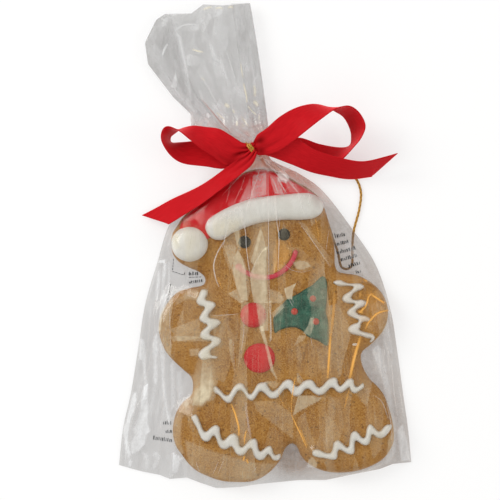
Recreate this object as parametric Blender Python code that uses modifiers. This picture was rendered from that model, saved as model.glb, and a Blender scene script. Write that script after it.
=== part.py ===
"""Gingerbread man cookie in a clear bag, tied at the neck with a satin bow and a gold elastic.

The pack lies on its back on the XY plane: the cookie's head points to +Y and its iced
side faces +Z. Lengths below are in millimetres; every mesh is scaled to metres.
"""

import math

import bmesh
import bpy
import numpy as np
from mathutils import Matrix

MM = 0.001

# Cookie inside the bag, as discs (centre x, centre y, radius) that blend into one figure
HEAD = (1.5, 8.75, 29.0)
POMPOM = (-38.5, -2.5, 10.0)
LEFT_ARM = (-32.5, -39.5, 20.0)
RIGHT_ARM = (42.5, -34.0, 19.0)
CHEST = (7.0, -30.0, 34.0)
BELLY = (7.0, -56.0, 36.0)
LEFT_LEG = (-18.5, -91.5, 27.0)
RIGHT_LEG = (37.5, -87.5, 26.0)
FIGURE = (HEAD, POMPOM, LEFT_ARM, RIGHT_ARM, CHEST, BELLY, LEFT_LEG, RIGHT_LEG)
FIGURE_BLEND = 4.0

# Bag: its two side edges from the bottom seam up to the cut top, as (x, y) pairs
LEFT_EDGE = (
    (-73.0, -109.5), (-71.0, -91.0), (-67.0, -73.0), (-63.5, -52.0), (-60.0, -30.0), (-54.0, -9.0),
    (-47.5, 11.0), (-36.0, 25.0), (-21.5, 36.0), (-11.0, 42.0), (-9.5, 46.5), (-10.5, 50.0),
    (-22.0, 55.0), (-37.0, 61.0), (-44.0, 73.0), (-54.0, 84.0), (-59.5, 94.0), (-58.0, 105.0),
    (-51.0, 115.5),
)
RIGHT_EDGE = (
    (73.0, -108.5), (71.5, -92.0), (69.0, -74.0), (66.0, -52.0), (62.5, -31.0), (55.5, -10.0),
    (44.5, 7.0), (29.5, 26.5), (17.5, 35.5), (4.0, 42.0), (1.5, 46.5), (2.5, 50.5),
    (2.0, 56.0), (1.5, 63.0), (0.0, 75.0), (-2.0, 87.0), (-4.0, 98.0), (-6.0, 110.0),
    (-7.5, 121.0),
)
ROWS = 58
COLUMNS = 27
SEAM_BOW = 12.0
SIDE_ROUNDING = 7.0
SEAM_ROUNDING = 5.0
SIDE_HEIGHT = 3.4
SEAM_THICKNESS = 0.9
BACK_LIFT = 3.2
CROWN = 12.8
# Distances from the figure between which the back lifts off the table and the crown falls away
LIFT_BAND = (-6.5, 1.0)
CROWN_BAND = (-4.0, 15.0)
# Power of the bottom seam's bow across the bag, and how fast it straightens up the bag
BOW_SHAPE = 2.6
BOW_FADE = 6
# The column cosine spacing leaves out this share of its range at each side
COLUMN_TRIM = 0.08
SHOULDER_Y = 28.0
NECK = (-4.0, 46.5, 6.5)
NECK_HALF = (5.5, 4.5)
NECK_LENGTH = 2.2
FAN_START_Y = 60.0
FAN_HEIGHT = 4.4
FAN_HALF = 2.1
FAN_WAVE = 1.5
FAN_FOLDS = 5
FAN_PHASE = 0.3
PLEATS = 7
PLEAT_DEPTH = 0.8
PLEAT_BAND = (8.0, 38.0)

# Gold elastic: rings round the neck and the bow, and its long loop
ELASTIC = 1.3
GAP = 0.3
TIE_SEGMENTS = 32
KNOT = (-4.9, 48.2, 16.3)
KNOT_HALF = (3.0, 3.6, 3.1)
KNOT_RING_TURN = math.radians(-50.0)
# Extra room on the rings' level half-widths and on the bow ring's half-height, so the rings meet
NECK_RING_ROOM = 0.1
BOW_RING_ROOM = (0.9, 0.25)
WELD = 1e-6
LOOP_ROUTE = (
    (4.1, 46.5, 5.6), (9.0, 46.1, 4.4), (15.0, 44.8, 1.9), (23.0, 42.4, 0.68), (34.0, 38.6, 0.65),
    (44.0, 34.8, 0.65), (47.8, 27.5, 0.65), (47.2, 18.5, 0.65), (44.4, 7.5, 0.65),
    (43.6, -1.2, 0.65), (43.8, -5.2, 0.65), (43.6, -8.6, 0.65), (43.0, -10.5, 0.65),
    (41.5, -11.6, 0.65), (39.6, -11.6, 0.65), (38.1, -10.5, 0.65), (37.4, -8.6, 0.65),
    (36.8, -5.2, 0.65), (35.7, -1.2, 0.65), (33.7, 4.2, 0.65), (31.4, 11.2, 0.65),
    (29.0, 18.5, 0.65), (26.1, 23.8, 0.65), (21.7, 27.8, 0.65), (15.0, 31.4, 0.65),
    (8.0, 34.4, 0.65), (2.4, 38.0, 0.7), (-1.2, 42.2, 1.0), (-2.6, 45.2, 1.5),
)
LOOP_POINTS = 74

# Satin ribbon: stations (edge, opposite edge) along each loop and tail, each (x, y, z)
RIBBON_THICKNESS = 0.5
RIGHT_LOOP = (
    ((-5.0, 50.2, 17.0), (-3.5, 46.6, 17.0)), ((-1.5, 57.0, 18.5), (3.5, 46.5, 17.5)),
    ((7.5, 64.0, 19.5), (13.0, 51.0, 19.5)), ((15.5, 68.3, 17.0), (22.0, 58.0, 24.0)),
    ((23.5, 70.3, 14.0), (28.5, 63.0, 25.0)), ((30.0, 69.3, 12.0), (34.5, 67.3, 25.0)),
    ((35.0, 66.5, 10.5), (41.0, 69.0, 23.5)), ((39.0, 63.8, 9.0), (46.0, 66.0, 21.5)),
    ((42.0, 58.8, 7.5), (49.5, 59.8, 19.8)), ((43.0, 54.3, 6.0), (48.3, 54.3, 19.0)),
    ((42.0, 49.9, 4.5), (44.6, 49.3, 17.5)), ((36.5, 48.9, 2.0), (35.5, 41.0, 12.0)),
    ((27.0, 50.8, 2.2), (23.5, 39.2, 8.6)), ((16.5, 53.8, 6.5), (13.0, 42.3, 9.5)),
    ((5.0, 51.5, 12.5), (2.5, 45.2, 12.3)), ((-3.5, 50.0, 14.7), (-3.8, 46.4, 14.7)),
)
RIGHT_TAIL = (
    ((-4.0, 50.2, 15.3), (-3.5, 46.0, 15.3)), ((6.5, 52.3, 17.0), (5.0, 43.3, 13.8)),
    ((16.3, 52.3, 17.5), (13.0, 40.3, 12.0)), ((24.5, 47.5, 17.0), (23.3, 36.5, 8.0)),
    ((36.0, 43.8, 16.0), (34.5, 34.0, 5.4)), ((45.0, 41.8, 15.0), (43.5, 33.3, 3.2)),
    ((51.5, 42.1, 14.5), (52.5, 34.3, 2.7)), ((59.0, 43.9, 13.5), (53.2, 34.8, 2.8)),
    ((65.9, 45.8, 12.5), (54.2, 35.4, 3.2)),
)
LEFT_LOOP = (
    ((-5.5, 50.2, 17.0), (-6.0, 46.6, 17.0)), ((-11.0, 50.8, 18.5), (-12.5, 42.9, 14.5)),
    ((-16.4, 54.1, 19.0), (-18.5, 39.6, 13.5)), ((-22.5, 57.7, 18.5), (-26.0, 44.3, 19.0)),
    ((-29.3, 58.8, 15.0), (-32.0, 48.3, 24.0)), ((-35.5, 59.5, 12.8), (-38.0, 52.8, 25.0)),
    ((-41.0, 58.3, 11.3), (-43.0, 56.5, 25.0)), ((-44.5, 55.9, 10.3), (-48.3, 58.6, 23.5)),
    ((-46.9, 53.8, 9.6), (-51.0, 56.3, 22.5)), ((-46.4, 51.2, 9.2), (-51.0, 51.3, 22.0)),
    ((-41.5, 51.3, 9.0), (-46.8, 44.8, 20.0)), ((-36.8, 51.8, 9.0), (-40.5, 40.8, 17.0)),
    ((-28.5, 52.3, 9.8), (-29.5, 39.2, 13.5)), ((-20.5, 49.8, 11.2), (-19.5, 38.3, 11.5)),
    ((-12.5, 48.8, 12.8), (-11.0, 43.0, 12.8)), ((-6.0, 49.6, 14.0), (-6.0, 46.3, 14.0)),
)
LEFT_TAIL = (
    ((-6.0, 48.5, 18.4), (-3.8, 46.4, 18.4)), ((-12.2, 43.4, 18.4), (-5.6, 41.4, 17.6)),
    ((-18.6, 39.3, 14.8), (-9.8, 37.0, 16.8)), ((-27.0, 33.0, 7.0), (-22.0, 27.9, 16.2)),
    ((-35.3, 28.3, 4.5), (-31.0, 21.3, 14.5)), ((-47.2, 22.7, 3.0), (-42.0, 14.0, 12.4)),
    ((-54.0, 19.0, 2.4), (-47.0, 11.0, 9.8)), ((-61.5, 15.1, 2.0), (-48.0, 10.6, 9.0)),
)
RIBBON_STEPS = 3
KNOT_SEGMENTS = 20
KNOT_RINGS = 12


def clear_scene():
    for item in list(bpy.data.objects):
        bpy.data.objects.remove(item, do_unlink=True)


def new_collection(name, hidden=False):
    group = bpy.data.collections.new(name)
    bpy.context.scene.collection.children.link(group)
    group.hide_render = hidden
    return group


def material(name, colour, roughness, metallic=0.0, alpha=1.0):
    finish = bpy.data.materials.new(name)
    finish.use_nodes = True
    shader = finish.node_tree.nodes["Principled BSDF"]
    shader.inputs["Base Color"].default_value = (*colour, 1.0)
    shader.inputs["Roughness"].default_value = roughness
    shader.inputs["Metallic"].default_value = metallic
    shader.inputs["Alpha"].default_value = alpha
    return finish


def smooth_step(low, high, value):
    t = np.clip((np.asarray(value, float) - low) / (high - low), 0.0, 1.0)
    return t * t * (3.0 - 2.0 * t)


def through(points, count):
    """Catmull-Rom curve through rows of numbers, read at count even parameters."""
    points = np.asarray(points, float)
    padded = np.vstack([2 * points[0] - points[1], points, 2 * points[-1] - points[-2]])
    t = np.linspace(0, len(points) - 1, count)
    i = np.minimum(t.astype(int), len(points) - 2)
    f = (t - i)[:, None]
    a, b, c, d = (padded[i + k] for k in range(4))
    bend = (2 * a - 5 * b + 4 * c - d) * f**2 + (3 * b - a - 3 * c + d) * f**3
    return 0.5 * (2 * b + (c - a) * f + bend)


def even_points(route, count):
    """Points at equal distances along the smooth curve through a route."""
    fine = through(route, 40 * len(route))
    run = np.r_[0, np.cumsum(np.linalg.norm(np.diff(fine, axis=0), axis=1))]
    at = np.linspace(0, run[-1], count)
    return np.column_stack([np.interp(at, run, fine[:, k]) for k in range(3)])


def outside_figure(x, y):
    """Distance from the cookie's outline, negative inside it, with the discs blended."""
    total = np.zeros_like(x)
    for cx, cy, radius in FIGURE:
        total += np.exp(-(np.hypot(x - cx, y - cy) - radius) / FIGURE_BLEND)
    return -FIGURE_BLEND * np.log(total)


def bag_surface(u, left, right, rise):
    """Front and back heights of the bag on one row from its left edge to its right edge."""
    x = left[0] + (right[0] - left[0]) * u
    bow = SEAM_BOW * (1 - np.abs(2 * u - 1) ** BOW_SHAPE)
    y = left[1] + (right[1] - left[1]) * u - bow * (1 - rise) ** BOW_FADE
    seam_y = LEFT_EDGE[0][1] + (RIGHT_EDGE[0][1] - LEFT_EDGE[0][1]) * u - bow
    from_side = np.minimum(u, 1 - u) * math.dist(left, right) / SIDE_ROUNDING
    inward = np.minimum(from_side, (y - seam_y) / SEAM_ROUNDING)
    d = outside_figure(x, y)
    round_off = 1 - (1 - np.clip(inward, 0, 1)) ** 2
    back = BACK_LIFT * smooth_step(*LIFT_BAND, d)
    side = SIDE_HEIGHT + (CROWN - SIDE_HEIGHT) * (1 - smooth_step(*CROWN_BAND, d)) * round_off
    pleat = PLEAT_DEPTH * np.cos(2 * math.pi * PLEATS * u) * smooth_step(*PLEAT_BAND, y)
    front = np.maximum(side + pleat * round_off, back) + SEAM_THICKNESS

    across = 2 * u - 1
    half = NECK_HALF[1] * np.sqrt(np.clip(1 - across**2, 0, 1))
    wave = FAN_WAVE * np.sin(math.pi * (FAN_FOLDS * u + FAN_PHASE))
    fan_half = FAN_HALF * (1 - across**4) + SEAM_THICKNESS / 2
    to_neck = float(smooth_step(SHOULDER_Y, NECK[1] - NECK_LENGTH, y[len(y) // 2]))
    to_fan = float(smooth_step(NECK[1] + NECK_LENGTH, FAN_START_Y, y[len(y) // 2]))
    mid = (1 - to_fan) * NECK[2] + to_fan * (FAN_HEIGHT + wave)
    half = (1 - to_fan) * half + to_fan * fan_half
    front = (1 - to_neck) * front + to_neck * (mid + half)
    back = (1 - to_neck) * back + to_neck * (mid - half)
    thin = np.maximum(front - back, SEAM_THICKNESS) - (front - back)
    return x, y, front + thin, back


def make_bag(group, finish):
    left = through(LEFT_EDGE, ROWS)
    right = through(RIGHT_EDGE, ROWS)
    u = 0.5 - 0.5 * np.cos(np.linspace(COLUMN_TRIM, 1 - COLUMN_TRIM, COLUMNS) * math.pi)
    u = (u - u[0]) / (u[-1] - u[0])
    rings = []
    for row in range(ROWS):
        x, y, front, back = bag_surface(u, left[row], right[row], row / (ROWS - 1))
        top = np.column_stack([x, y, front])
        bottom = np.column_stack([x, y, back])
        rings.append(np.vstack([top, bottom[::-1]]))
    points = np.vstack(rings) * MM
    around = 2 * COLUMNS
    faces = []
    for row in range(ROWS - 1):
        for k in range(around):
            n = (k + 1) % around
            faces.append((row * around + k, row * around + n, (row + 1) * around + n, (row + 1) * around + k))
    for start, flip in ((0, True), ((ROWS - 1) * around, False)):
        for k in range(COLUMNS - 1):
            quad = (start + k, start + k + 1, start + around - 2 - k, start + around - 1 - k)
            faces.append(quad[::-1] if flip else quad)
    mesh = bpy.data.meshes.new("bag")
    mesh.from_pydata(points.tolist(), [], faces)
    shell = bmesh.new()
    shell.from_mesh(mesh)
    bmesh.ops.recalc_face_normals(shell, faces=shell.faces)
    shell.to_mesh(mesh)
    shell.free()
    mesh.materials.append(finish)
    bag = bpy.data.objects.new("bag", mesh)
    group.objects.link(bag)
    return bag


def strip(name, stations, group, finish):
    """A ribbon that runs between two edge curves, with its thickness from Solidify."""
    count = (len(stations) - 1) * RIBBON_STEPS + 1
    edges = through([(*a, *b) for a, b in stations], count)
    middle = 0.5 * (edges[:, :3] + edges[:, 3:])
    points = np.stack([edges[:, :3], middle, edges[:, 3:]], axis=1).reshape(-1, 3) * MM
    faces = []
    for i in range(count - 1):
        for k in range(2):
            a = 3 * i + k
            faces.append((a, a + 1, a + 4, a + 3))
    mesh = bpy.data.meshes.new(name)
    mesh.from_pydata(points.tolist(), [], faces)
    mesh.materials.append(finish)
    piece = bpy.data.objects.new(name, mesh)
    group.objects.link(piece)
    wall = piece.modifiers.new("thickness", "SOLIDIFY")
    wall.thickness = RIBBON_THICKNESS * MM
    wall.offset = 0.0
    return piece


def as_cutter(piece):
    piece.hide_render = True
    piece.display_type = "WIRE"


def unite(base, others):
    for other in others:
        as_cutter(other)
        union = base.modifiers.new(f"with_{other.name}", "BOOLEAN")
        union.operation = "UNION"
        union.object = other


def make_ribbon(group, cutters, finish):
    """Two loops and two tails gathered into a small wad where the elastic grips them."""
    bpy.ops.mesh.primitive_uv_sphere_add(segments=KNOT_SEGMENTS, ring_count=KNOT_RINGS, radius=1.0)
    knot = bpy.context.object
    knot.name = "ribbon"
    for holder in list(knot.users_collection):
        holder.objects.unlink(knot)
    group.objects.link(knot)
    knot.data.transform(Matrix.Diagonal((*(half * MM for half in KNOT_HALF), 1.0)))
    knot.location = tuple(MM * c for c in KNOT)
    knot.data.materials.append(finish)
    knot.data.shade_smooth()
    loops = [
        strip("right_loop", RIGHT_LOOP, cutters, finish),
        strip("right_tail", RIGHT_TAIL, cutters, finish),
        strip("left_loop", LEFT_LOOP, cutters, finish),
        strip("left_tail", LEFT_TAIL, cutters, finish),
    ]
    unite(knot, loops)
    return knot


def tube(name, points, closed, group, finish):
    curve = bpy.data.curves.new(name, "CURVE")
    curve.dimensions = "3D"
    curve.bevel_depth = ELASTIC / 2 * MM
    curve.bevel_resolution = 2
    curve.use_fill_caps = True
    line = curve.splines.new("POLY")
    line.points.add(len(points) - 1)
    for spot, (x, y, z) in zip(line.points, points):
        spot.co = (x * MM, y * MM, z * MM, 1.0)
    line.use_cyclic_u = closed
    curve.materials.append(finish)
    piece = bpy.data.objects.new(name, curve)
    group.objects.link(piece)
    return piece


def as_mesh(curved, group):
    """The curve's tube as a mesh object, with its caps welded on."""
    bpy.context.view_layer.update()
    evaluated = curved.evaluated_get(bpy.context.evaluated_depsgraph_get())
    mesh = bpy.data.meshes.new_from_object(evaluated)
    shell = bmesh.new()
    shell.from_mesh(mesh)
    bmesh.ops.remove_doubles(shell, verts=shell.verts, dist=WELD)
    shell.to_mesh(mesh)
    shell.free()
    name = curved.name
    place = curved.matrix_world.copy()
    bpy.data.objects.remove(curved, do_unlink=True)
    piece = bpy.data.objects.new(name, mesh)
    piece.matrix_world = place
    group.objects.link(piece)
    return piece


def ring(centre, across, half_across, half_up):
    """Points of an upright oval whose level axis is the direction across."""
    turn = np.linspace(0, 2 * math.pi, TIE_SEGMENTS, endpoint=False)
    level = np.outer(half_across * np.cos(turn), across)
    points = np.asarray(centre) + level
    points[:, 2] += half_up * np.sin(turn)
    return points


def make_neck_tie(group, cutters, finish):
    """One ring round the bag's neck and one round the bow's wad, which touch and are one piece."""
    clearance = GAP + ELASTIC / 2
    neck = ring(NECK, (1, 0, 0), NECK_HALF[0] + clearance + NECK_RING_ROOM, NECK_HALF[1] + clearance)
    tie = as_mesh(tube("neck_tie", neck, True, group, finish), group)
    way = (math.cos(KNOT_RING_TURN), math.sin(KNOT_RING_TURN), 0)
    wide, tall = BOW_RING_ROOM
    grip = ring(KNOT, way, KNOT_HALF[1] + clearance + wide, KNOT_HALF[2] + clearance + tall)
    bow_ring = as_mesh(tube("bow_ring", grip, True, cutters, finish), cutters)
    unite(tie, [bow_ring])
    return tie


def make_hanging_loop(group, finish):
    """The elastic's free length: out of the tie, along the table, round, and back under the bag."""
    return tube("hanging_loop", even_points(LOOP_ROUTE, LOOP_POINTS), False, group, finish)


def build():
    clear_scene()
    group = new_collection("gingerbread_man_cookie")
    cutters = new_collection("joined_shapes", hidden=True)
    film = material("clear_film", (0.62, 0.60, 0.58), 0.1, alpha=0.45)
    satin = material("red_satin", (0.51, 0.012, 0.02), 0.4)
    gold = material("gold_elastic", (0.50, 0.27, 0.05), 0.35, metallic=0.7)
    make_bag(group, film)
    make_ribbon(group, cutters, satin)
    make_neck_tie(group, cutters, gold)
    make_hanging_loop(group, gold)


build()
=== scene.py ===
import math

import bpy
import numpy as np
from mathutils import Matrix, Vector
from mathutils.geometry import delaunay_2d_cdt


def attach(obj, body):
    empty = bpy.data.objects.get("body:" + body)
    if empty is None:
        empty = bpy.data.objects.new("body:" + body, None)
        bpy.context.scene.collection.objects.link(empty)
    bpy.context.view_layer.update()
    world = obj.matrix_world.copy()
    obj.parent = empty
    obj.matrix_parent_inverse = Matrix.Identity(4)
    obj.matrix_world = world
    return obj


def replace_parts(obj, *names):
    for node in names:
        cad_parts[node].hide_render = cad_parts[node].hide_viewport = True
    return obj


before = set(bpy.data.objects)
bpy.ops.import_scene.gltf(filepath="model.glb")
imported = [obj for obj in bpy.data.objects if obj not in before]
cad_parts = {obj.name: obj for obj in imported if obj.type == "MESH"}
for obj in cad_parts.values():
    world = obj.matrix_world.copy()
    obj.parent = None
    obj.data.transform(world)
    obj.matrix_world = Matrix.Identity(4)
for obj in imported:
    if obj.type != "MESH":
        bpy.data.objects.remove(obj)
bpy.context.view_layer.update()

mm = 0.001  # every shape below is worked out in millimetres
print("frame loaded:", ", ".join(sorted(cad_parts)))


def eased(low, high, value):
    # 0 below low, 1 above high, and an S-shaped climb between
    t = np.clip((np.asarray(value, float) - low) / (high - low), 0, 1)
    return t * t * (3 - 2 * t)


def roundedEdge(share):
    # height of a quarter circle at this share of the way in from its rim
    return np.sqrt(np.clip(1 - (1 - np.clip(share, 0, 1)) ** 2, 0, 1))


def creased(value):
    # triangle wave from 0 to 1 with a sharp turn at both ends: twice the distance to the nearest whole number
    return 2 * np.abs(value - np.round(value))


def wobble(x, y, size, seed):
    # smooth random field from about -1 to 1: the sum of nine sine waves with random headings and lengths near
    # size, divided by 4.2
    draw = np.random.default_rng(seed)
    total = np.zeros(np.broadcast(x, y).shape)
    for heading, stretch, phase in draw.uniform((0, 0.7, 0), (2 * np.pi, 1.6, 2 * np.pi), (9, 3)):
        total += np.sin((x * np.cos(heading) + y * np.sin(heading)) * 2 * np.pi / (size * stretch) + phase)
    return total / 4.2


def through(points, count, closed=False):
    # Catmull-Rom curve: a cubic across each span, whose end slopes are half the step between neighbours
    points = np.asarray(points, float)
    if closed:
        padded = np.vstack([points[-1:], points, points[:2]])
    else:
        padded = np.vstack([2 * points[0] - points[1], points, 2 * points[-1] - points[-2]])
    spans = len(padded) - 3
    t = np.linspace(0, spans, count, endpoint=not closed)
    i = np.minimum(t.astype(int), spans - 1)
    f = (t - i)[:, None]
    a, b, c, d = (padded[i + k] for k in range(4))
    return 0.5 * (2 * b + (c - a) * f + (2 * a - 5 * b + 4 * c - d) * f**2 + (3 * b - a - 3 * c + d) * f**3)


def lengthsAlong(path):
    # the running total of the lengths of a path's steps
    return np.r_[0, np.cumsum(np.linalg.norm(np.diff(path, axis=0), axis=1))]


def evenly(points, step, closed=False):
    # the same curve read at equal distances, about step apart
    fine = through(points, 30 * len(points), closed)
    if closed:
        fine = np.vstack([fine, fine[:1]])
    run = lengthsAlong(fine)
    count = max(int(round(run[-1] / step)), 4)
    at = np.linspace(0, run[-1], count + (not closed), endpoint=not closed)
    return np.column_stack([np.interp(at, run, fine[:, k]) for k in range(fine.shape[1])])


def reach(x, y, loop):
    # distance to a closed outline, positive inside: the nearest side, and whether a level ray crosses an odd
    # number of sides
    near = np.full(np.shape(x), 1e9)
    inside = np.zeros(np.shape(x), bool)
    for (ax, ay), (bx, by) in zip(loop, np.roll(loop, -1, axis=0)):
        dx, dy = bx - ax, by - ay
        t = np.clip(((x - ax) * dx + (y - ay) * dy) / (dx * dx + dy * dy), 0, 1)
        near = np.minimum(near, (x - ax - t * dx) ** 2 + (y - ay - t * dy) ** 2)
        if ay != by:
            inside ^= ((ay > y) != (by > y)) & (x < ax + (y - ay) * dx / dy)
    return np.where(inside, 1, -1) * np.sqrt(near)


def sideways(path):
    # level unit vectors to the left of a path: its direction turned a quarter turn
    ahead = np.gradient(path, axis=0)
    ahead /= np.linalg.norm(ahead, axis=1)[:, None]
    return np.column_stack([-ahead[:, 1], ahead[:, 0]])


def gridFaces(rows, columns, closed=False):
    # quads between neighbouring rows and columns of a grid, round to the first column again where closed
    r, c = np.arange(rows - 1)[:, None], np.arange(columns - (not closed))[None, :]
    here, beside = r * columns + c, r * columns + (c + 1) % columns
    return np.stack([here, beside, beside + columns, here + columns], -1).reshape(-1, 4)


def tubeFaces(rings, around):
    # quads between the rings of a tube, and a fan of triangles from each end ring to a pole; both poles come
    # after the rings' points
    ring = np.arange(around)
    beside = np.roll(ring, -1)
    last, pole = (rings - 1) * around, np.full(around, rings * around)
    return [gridFaces(rings, around, closed=True), np.column_stack([pole, beside, ring]),
            np.column_stack([ring + last, beside + last, pole + 1])]


def newPiece(name, points, faces, material, uv=None, layers=None, facing="out"):
    # one mesh object from millimetre points and blocks of faces, turned to face up, down or outwards: faces
    # point outwards when the triple products of their corners, six times the volume, add up to over nothing
    points = np.asarray(points, float).reshape(-1, 3)
    if facing == "out":
        turn = 0 > sum(np.einsum("ij,ij->", points[b[:, 0]], np.cross(points[b[:, k]], points[b[:, k + 1]]))
                       for b in faces for k in range(1, b.shape[1] - 1))
    else:
        lift = sum(np.cross(points[b[:, 1]] - points[b[:, 0]], points[b[:, 2]] - points[b[:, 0]])[:, 2].sum()
                   for b in faces)
        turn = (lift < 0) == (facing == "up")
    if turn:
        faces = [block[:, ::-1] for block in faces]
    corners = np.concatenate([block.ravel() for block in faces]).astype(np.int32)
    sizes = np.concatenate([np.full(len(block), block.shape[1]) for block in faces])
    mesh = bpy.data.meshes.new(name)
    mesh.vertices.add(len(points))
    mesh.vertices.foreach_set("co", (points * mm).astype(np.float32).ravel())
    mesh.loops.add(len(corners))
    mesh.polygons.add(len(sizes))
    mesh.polygons.foreach_set("loop_start", np.r_[0, np.cumsum(sizes)[:-1]].astype(np.int32))
    mesh.polygons.foreach_set("vertices", corners)
    mesh.update(calc_edges=True)
    if uv is not None:
        uv = np.asarray(uv, np.float32).reshape(-1, 2)
        mesh.uv_layers.new(name="UVMap").data.foreach_set("uv", uv[corners].ravel())
    for label, values in (layers or {}).items():
        layer = mesh.attributes.new(label, "FLOAT", "POINT")
        layer.data.foreach_set("value", np.asarray(values, np.float32).ravel())
    mesh.validate()
    mesh.shade_smooth()
    mesh.materials.append(material)
    piece = bpy.data.objects.new(name, mesh)
    bpy.context.scene.collection.objects.link(piece)
    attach(piece, "root")
    return piece


def filled(edge, insets, spacing):
    # points and triangles over a closed outline: rings at the given insets along its inward normals, then a
    # hexagonal lattice further in, all joined by Delaunay triangles. The outline itself comes first.
    ahead = np.roll(edge, -1, axis=0) - np.roll(edge, 1, axis=0)
    inward = np.column_stack([-ahead[:, 1], ahead[:, 0]]) / np.linalg.norm(ahead, axis=1)[:, None]
    rings = [edge + inset * inward for inset in insets]
    low, high = edge.min(axis=0), edge.max(axis=0)
    latticeY, latticeX = np.mgrid[low[1]:high[1]:spacing * 0.866, low[0]:high[0]:spacing]
    latticeX = latticeX + (np.arange(len(latticeX)) % 2)[:, None] * spacing / 2
    keep = reach(latticeX, latticeY, edge) > insets[-1] + 0.6 * spacing
    spots = np.vstack(rings + [np.column_stack([latticeX[keep], latticeY[keep]])])
    found = delaunay_2d_cdt([Vector(spot) for spot in spots.tolist()], [], [list(range(len(edge)))], 1, 1e-6)
    origin = np.array([came[0] for came in found[3]])
    fromRim = np.maximum(reach(spots[:, 0], spots[:, 1], edge), 0)
    fromRim[:len(edge)] = 0
    return spots, origin[np.array(found[2])], fromRim


def pillow(edge, insets, spacing, top, underInsets, underSpacing, bottom):
    # a closed shape over an outline: upper and lower heights are functions of place and distance from the rim
    above, upper, fromRim = filled(edge, insets, spacing)
    below, lower, underRim = filled(edge, underInsets, underSpacing)
    points = np.vstack([np.column_stack([above, top(above[:, 0], above[:, 1], fromRim)]),
                        np.column_stack([below, bottom(below[:, 0], below[:, 1], underRim)])[len(edge):]])
    lower = np.where(lower < len(edge), lower, lower - len(edge) + len(above))
    return points, [upper, lower[:, ::-1]], fromRim


def fill(tree, made, inputs):
    # each named input takes a value, or a link where the value is another node's output
    for key, value in inputs.items():
        if isinstance(value, bpy.types.NodeSocket):
            tree.links.new(value, made.inputs[key])
        else:
            made.inputs[key].default_value = value


def node(tree, kind, inputs=None, out=0, **settings):
    # adds one node and gives back the output with this name or number, or all of them for None
    made = tree.nodes.new("ShaderNode" + kind)
    for key, value in settings.items():
        setattr(made, key, value)
    fill(tree, made, inputs or {})
    return made.outputs if out is None else made.outputs[out]


def mixed(tree, share, *colours):
    # the first colour at share 0, the second at share 1
    first, second = ((*c, 1.0) if isinstance(c, tuple) else c for c in colours)
    return node(tree, "Mix", {0: share, 6: first, 7: second}, 2, data_type="RGBA")


def ranged(tree, value, low, high, toLow=0.0, toHigh=1.0):
    # low and high become toLow and toHigh, evenly between them and level beyond
    return node(tree, "MapRange", {"Value": value, "From Min": low, "From Max": high,
                                   "To Min": toLow, "To Max": toHigh})


def combined(tree, operation, first, second):
    return node(tree, "Math", {0: first, 1: second}, operation=operation)


def noise(tree, place, scale, detail=2.0, roughness=0.5):
    return node(tree, "TexNoise", {"Vector": place, "Scale": scale, "Detail": detail, "Roughness": roughness})


def attribute(tree, name):
    return node(tree, "Attribute", out="Fac", attribute_name=name)


def bumped(tree, height, strength, distance):
    return node(tree, "Bump", {"Height": height, "Strength": strength, "Distance": distance})


def onObject(tree):
    return node(tree, "TexCoord", out="Object")


def newMaterial(name):
    made = bpy.data.materials.new(name)
    made.use_nodes = True
    return made, made.node_tree, made.node_tree.nodes["Principled BSDF"]


# crumb: broad patches, dark flecks and a fine grain, all from noise at the place on the object
crumb = bpy.data.node_groups.new("crumb", "ShaderNodeTree")
crumb.interface.new_socket("Place", in_out="INPUT", socket_type="NodeSocketVector")
for label, size in (("Patch Size", 70.0), ("Grain Size", 1600.0)):
    crumb.interface.new_socket(label, in_out="INPUT", socket_type="NodeSocketFloat").default_value = size
for label in ("Patches", "Flecks", "Grain", "Height"):
    crumb.interface.new_socket(label, in_out="OUTPUT", socket_type="NodeSocketFloat")
crumbIn, crumbOut = crumb.nodes.new("NodeGroupInput").outputs, crumb.nodes.new("NodeGroupOutput")
patches = noise(crumb, crumbIn["Place"], crumbIn["Patch Size"], 4.0, 0.6)
grain = noise(crumb, crumbIn["Place"], crumbIn["Grain Size"], 3.0, 0.65)
flecks = noise(crumb, crumbIn["Place"], combined(crumb, "MULTIPLY", crumbIn["Grain Size"], 0.42))
flecks = ranged(crumb, flecks, 0.65, 0.72)
fill(crumb, crumbOut, {"Patches": ranged(crumb, patches, 0.32, 0.68), "Flecks": flecks, "Grain": grain,
                       "Height": combined(crumb, "SUBTRACT", grain, flecks)})


def crumbled(tree, patchSize, grainSize):
    return node(tree, "Group", {"Place": onObject(tree), "Patch Size": patchSize, "Grain Size": grainSize},
                None, node_tree=crumb)


# the camera comes first, then the elastic's free loop
scene = bpy.context.scene
view = {"centre": (-7.5, -2.25), "height": 2000.0, "field": 250.0, "sensor": 36.0}
cameraData = bpy.data.cameras.new("viewer")
cameraData.sensor_width = view["sensor"]
cameraData.lens = view["sensor"] * view["height"] / view["field"]
cameraData.clip_start, cameraData.clip_end = 0.05, 20.0
camera = bpy.data.objects.new("viewer", cameraData)
camera.location = (view["centre"][0] * mm, view["centre"][1] * mm, view["height"] * mm)
scene.collection.objects.link(camera)
scene.camera = camera

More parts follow.
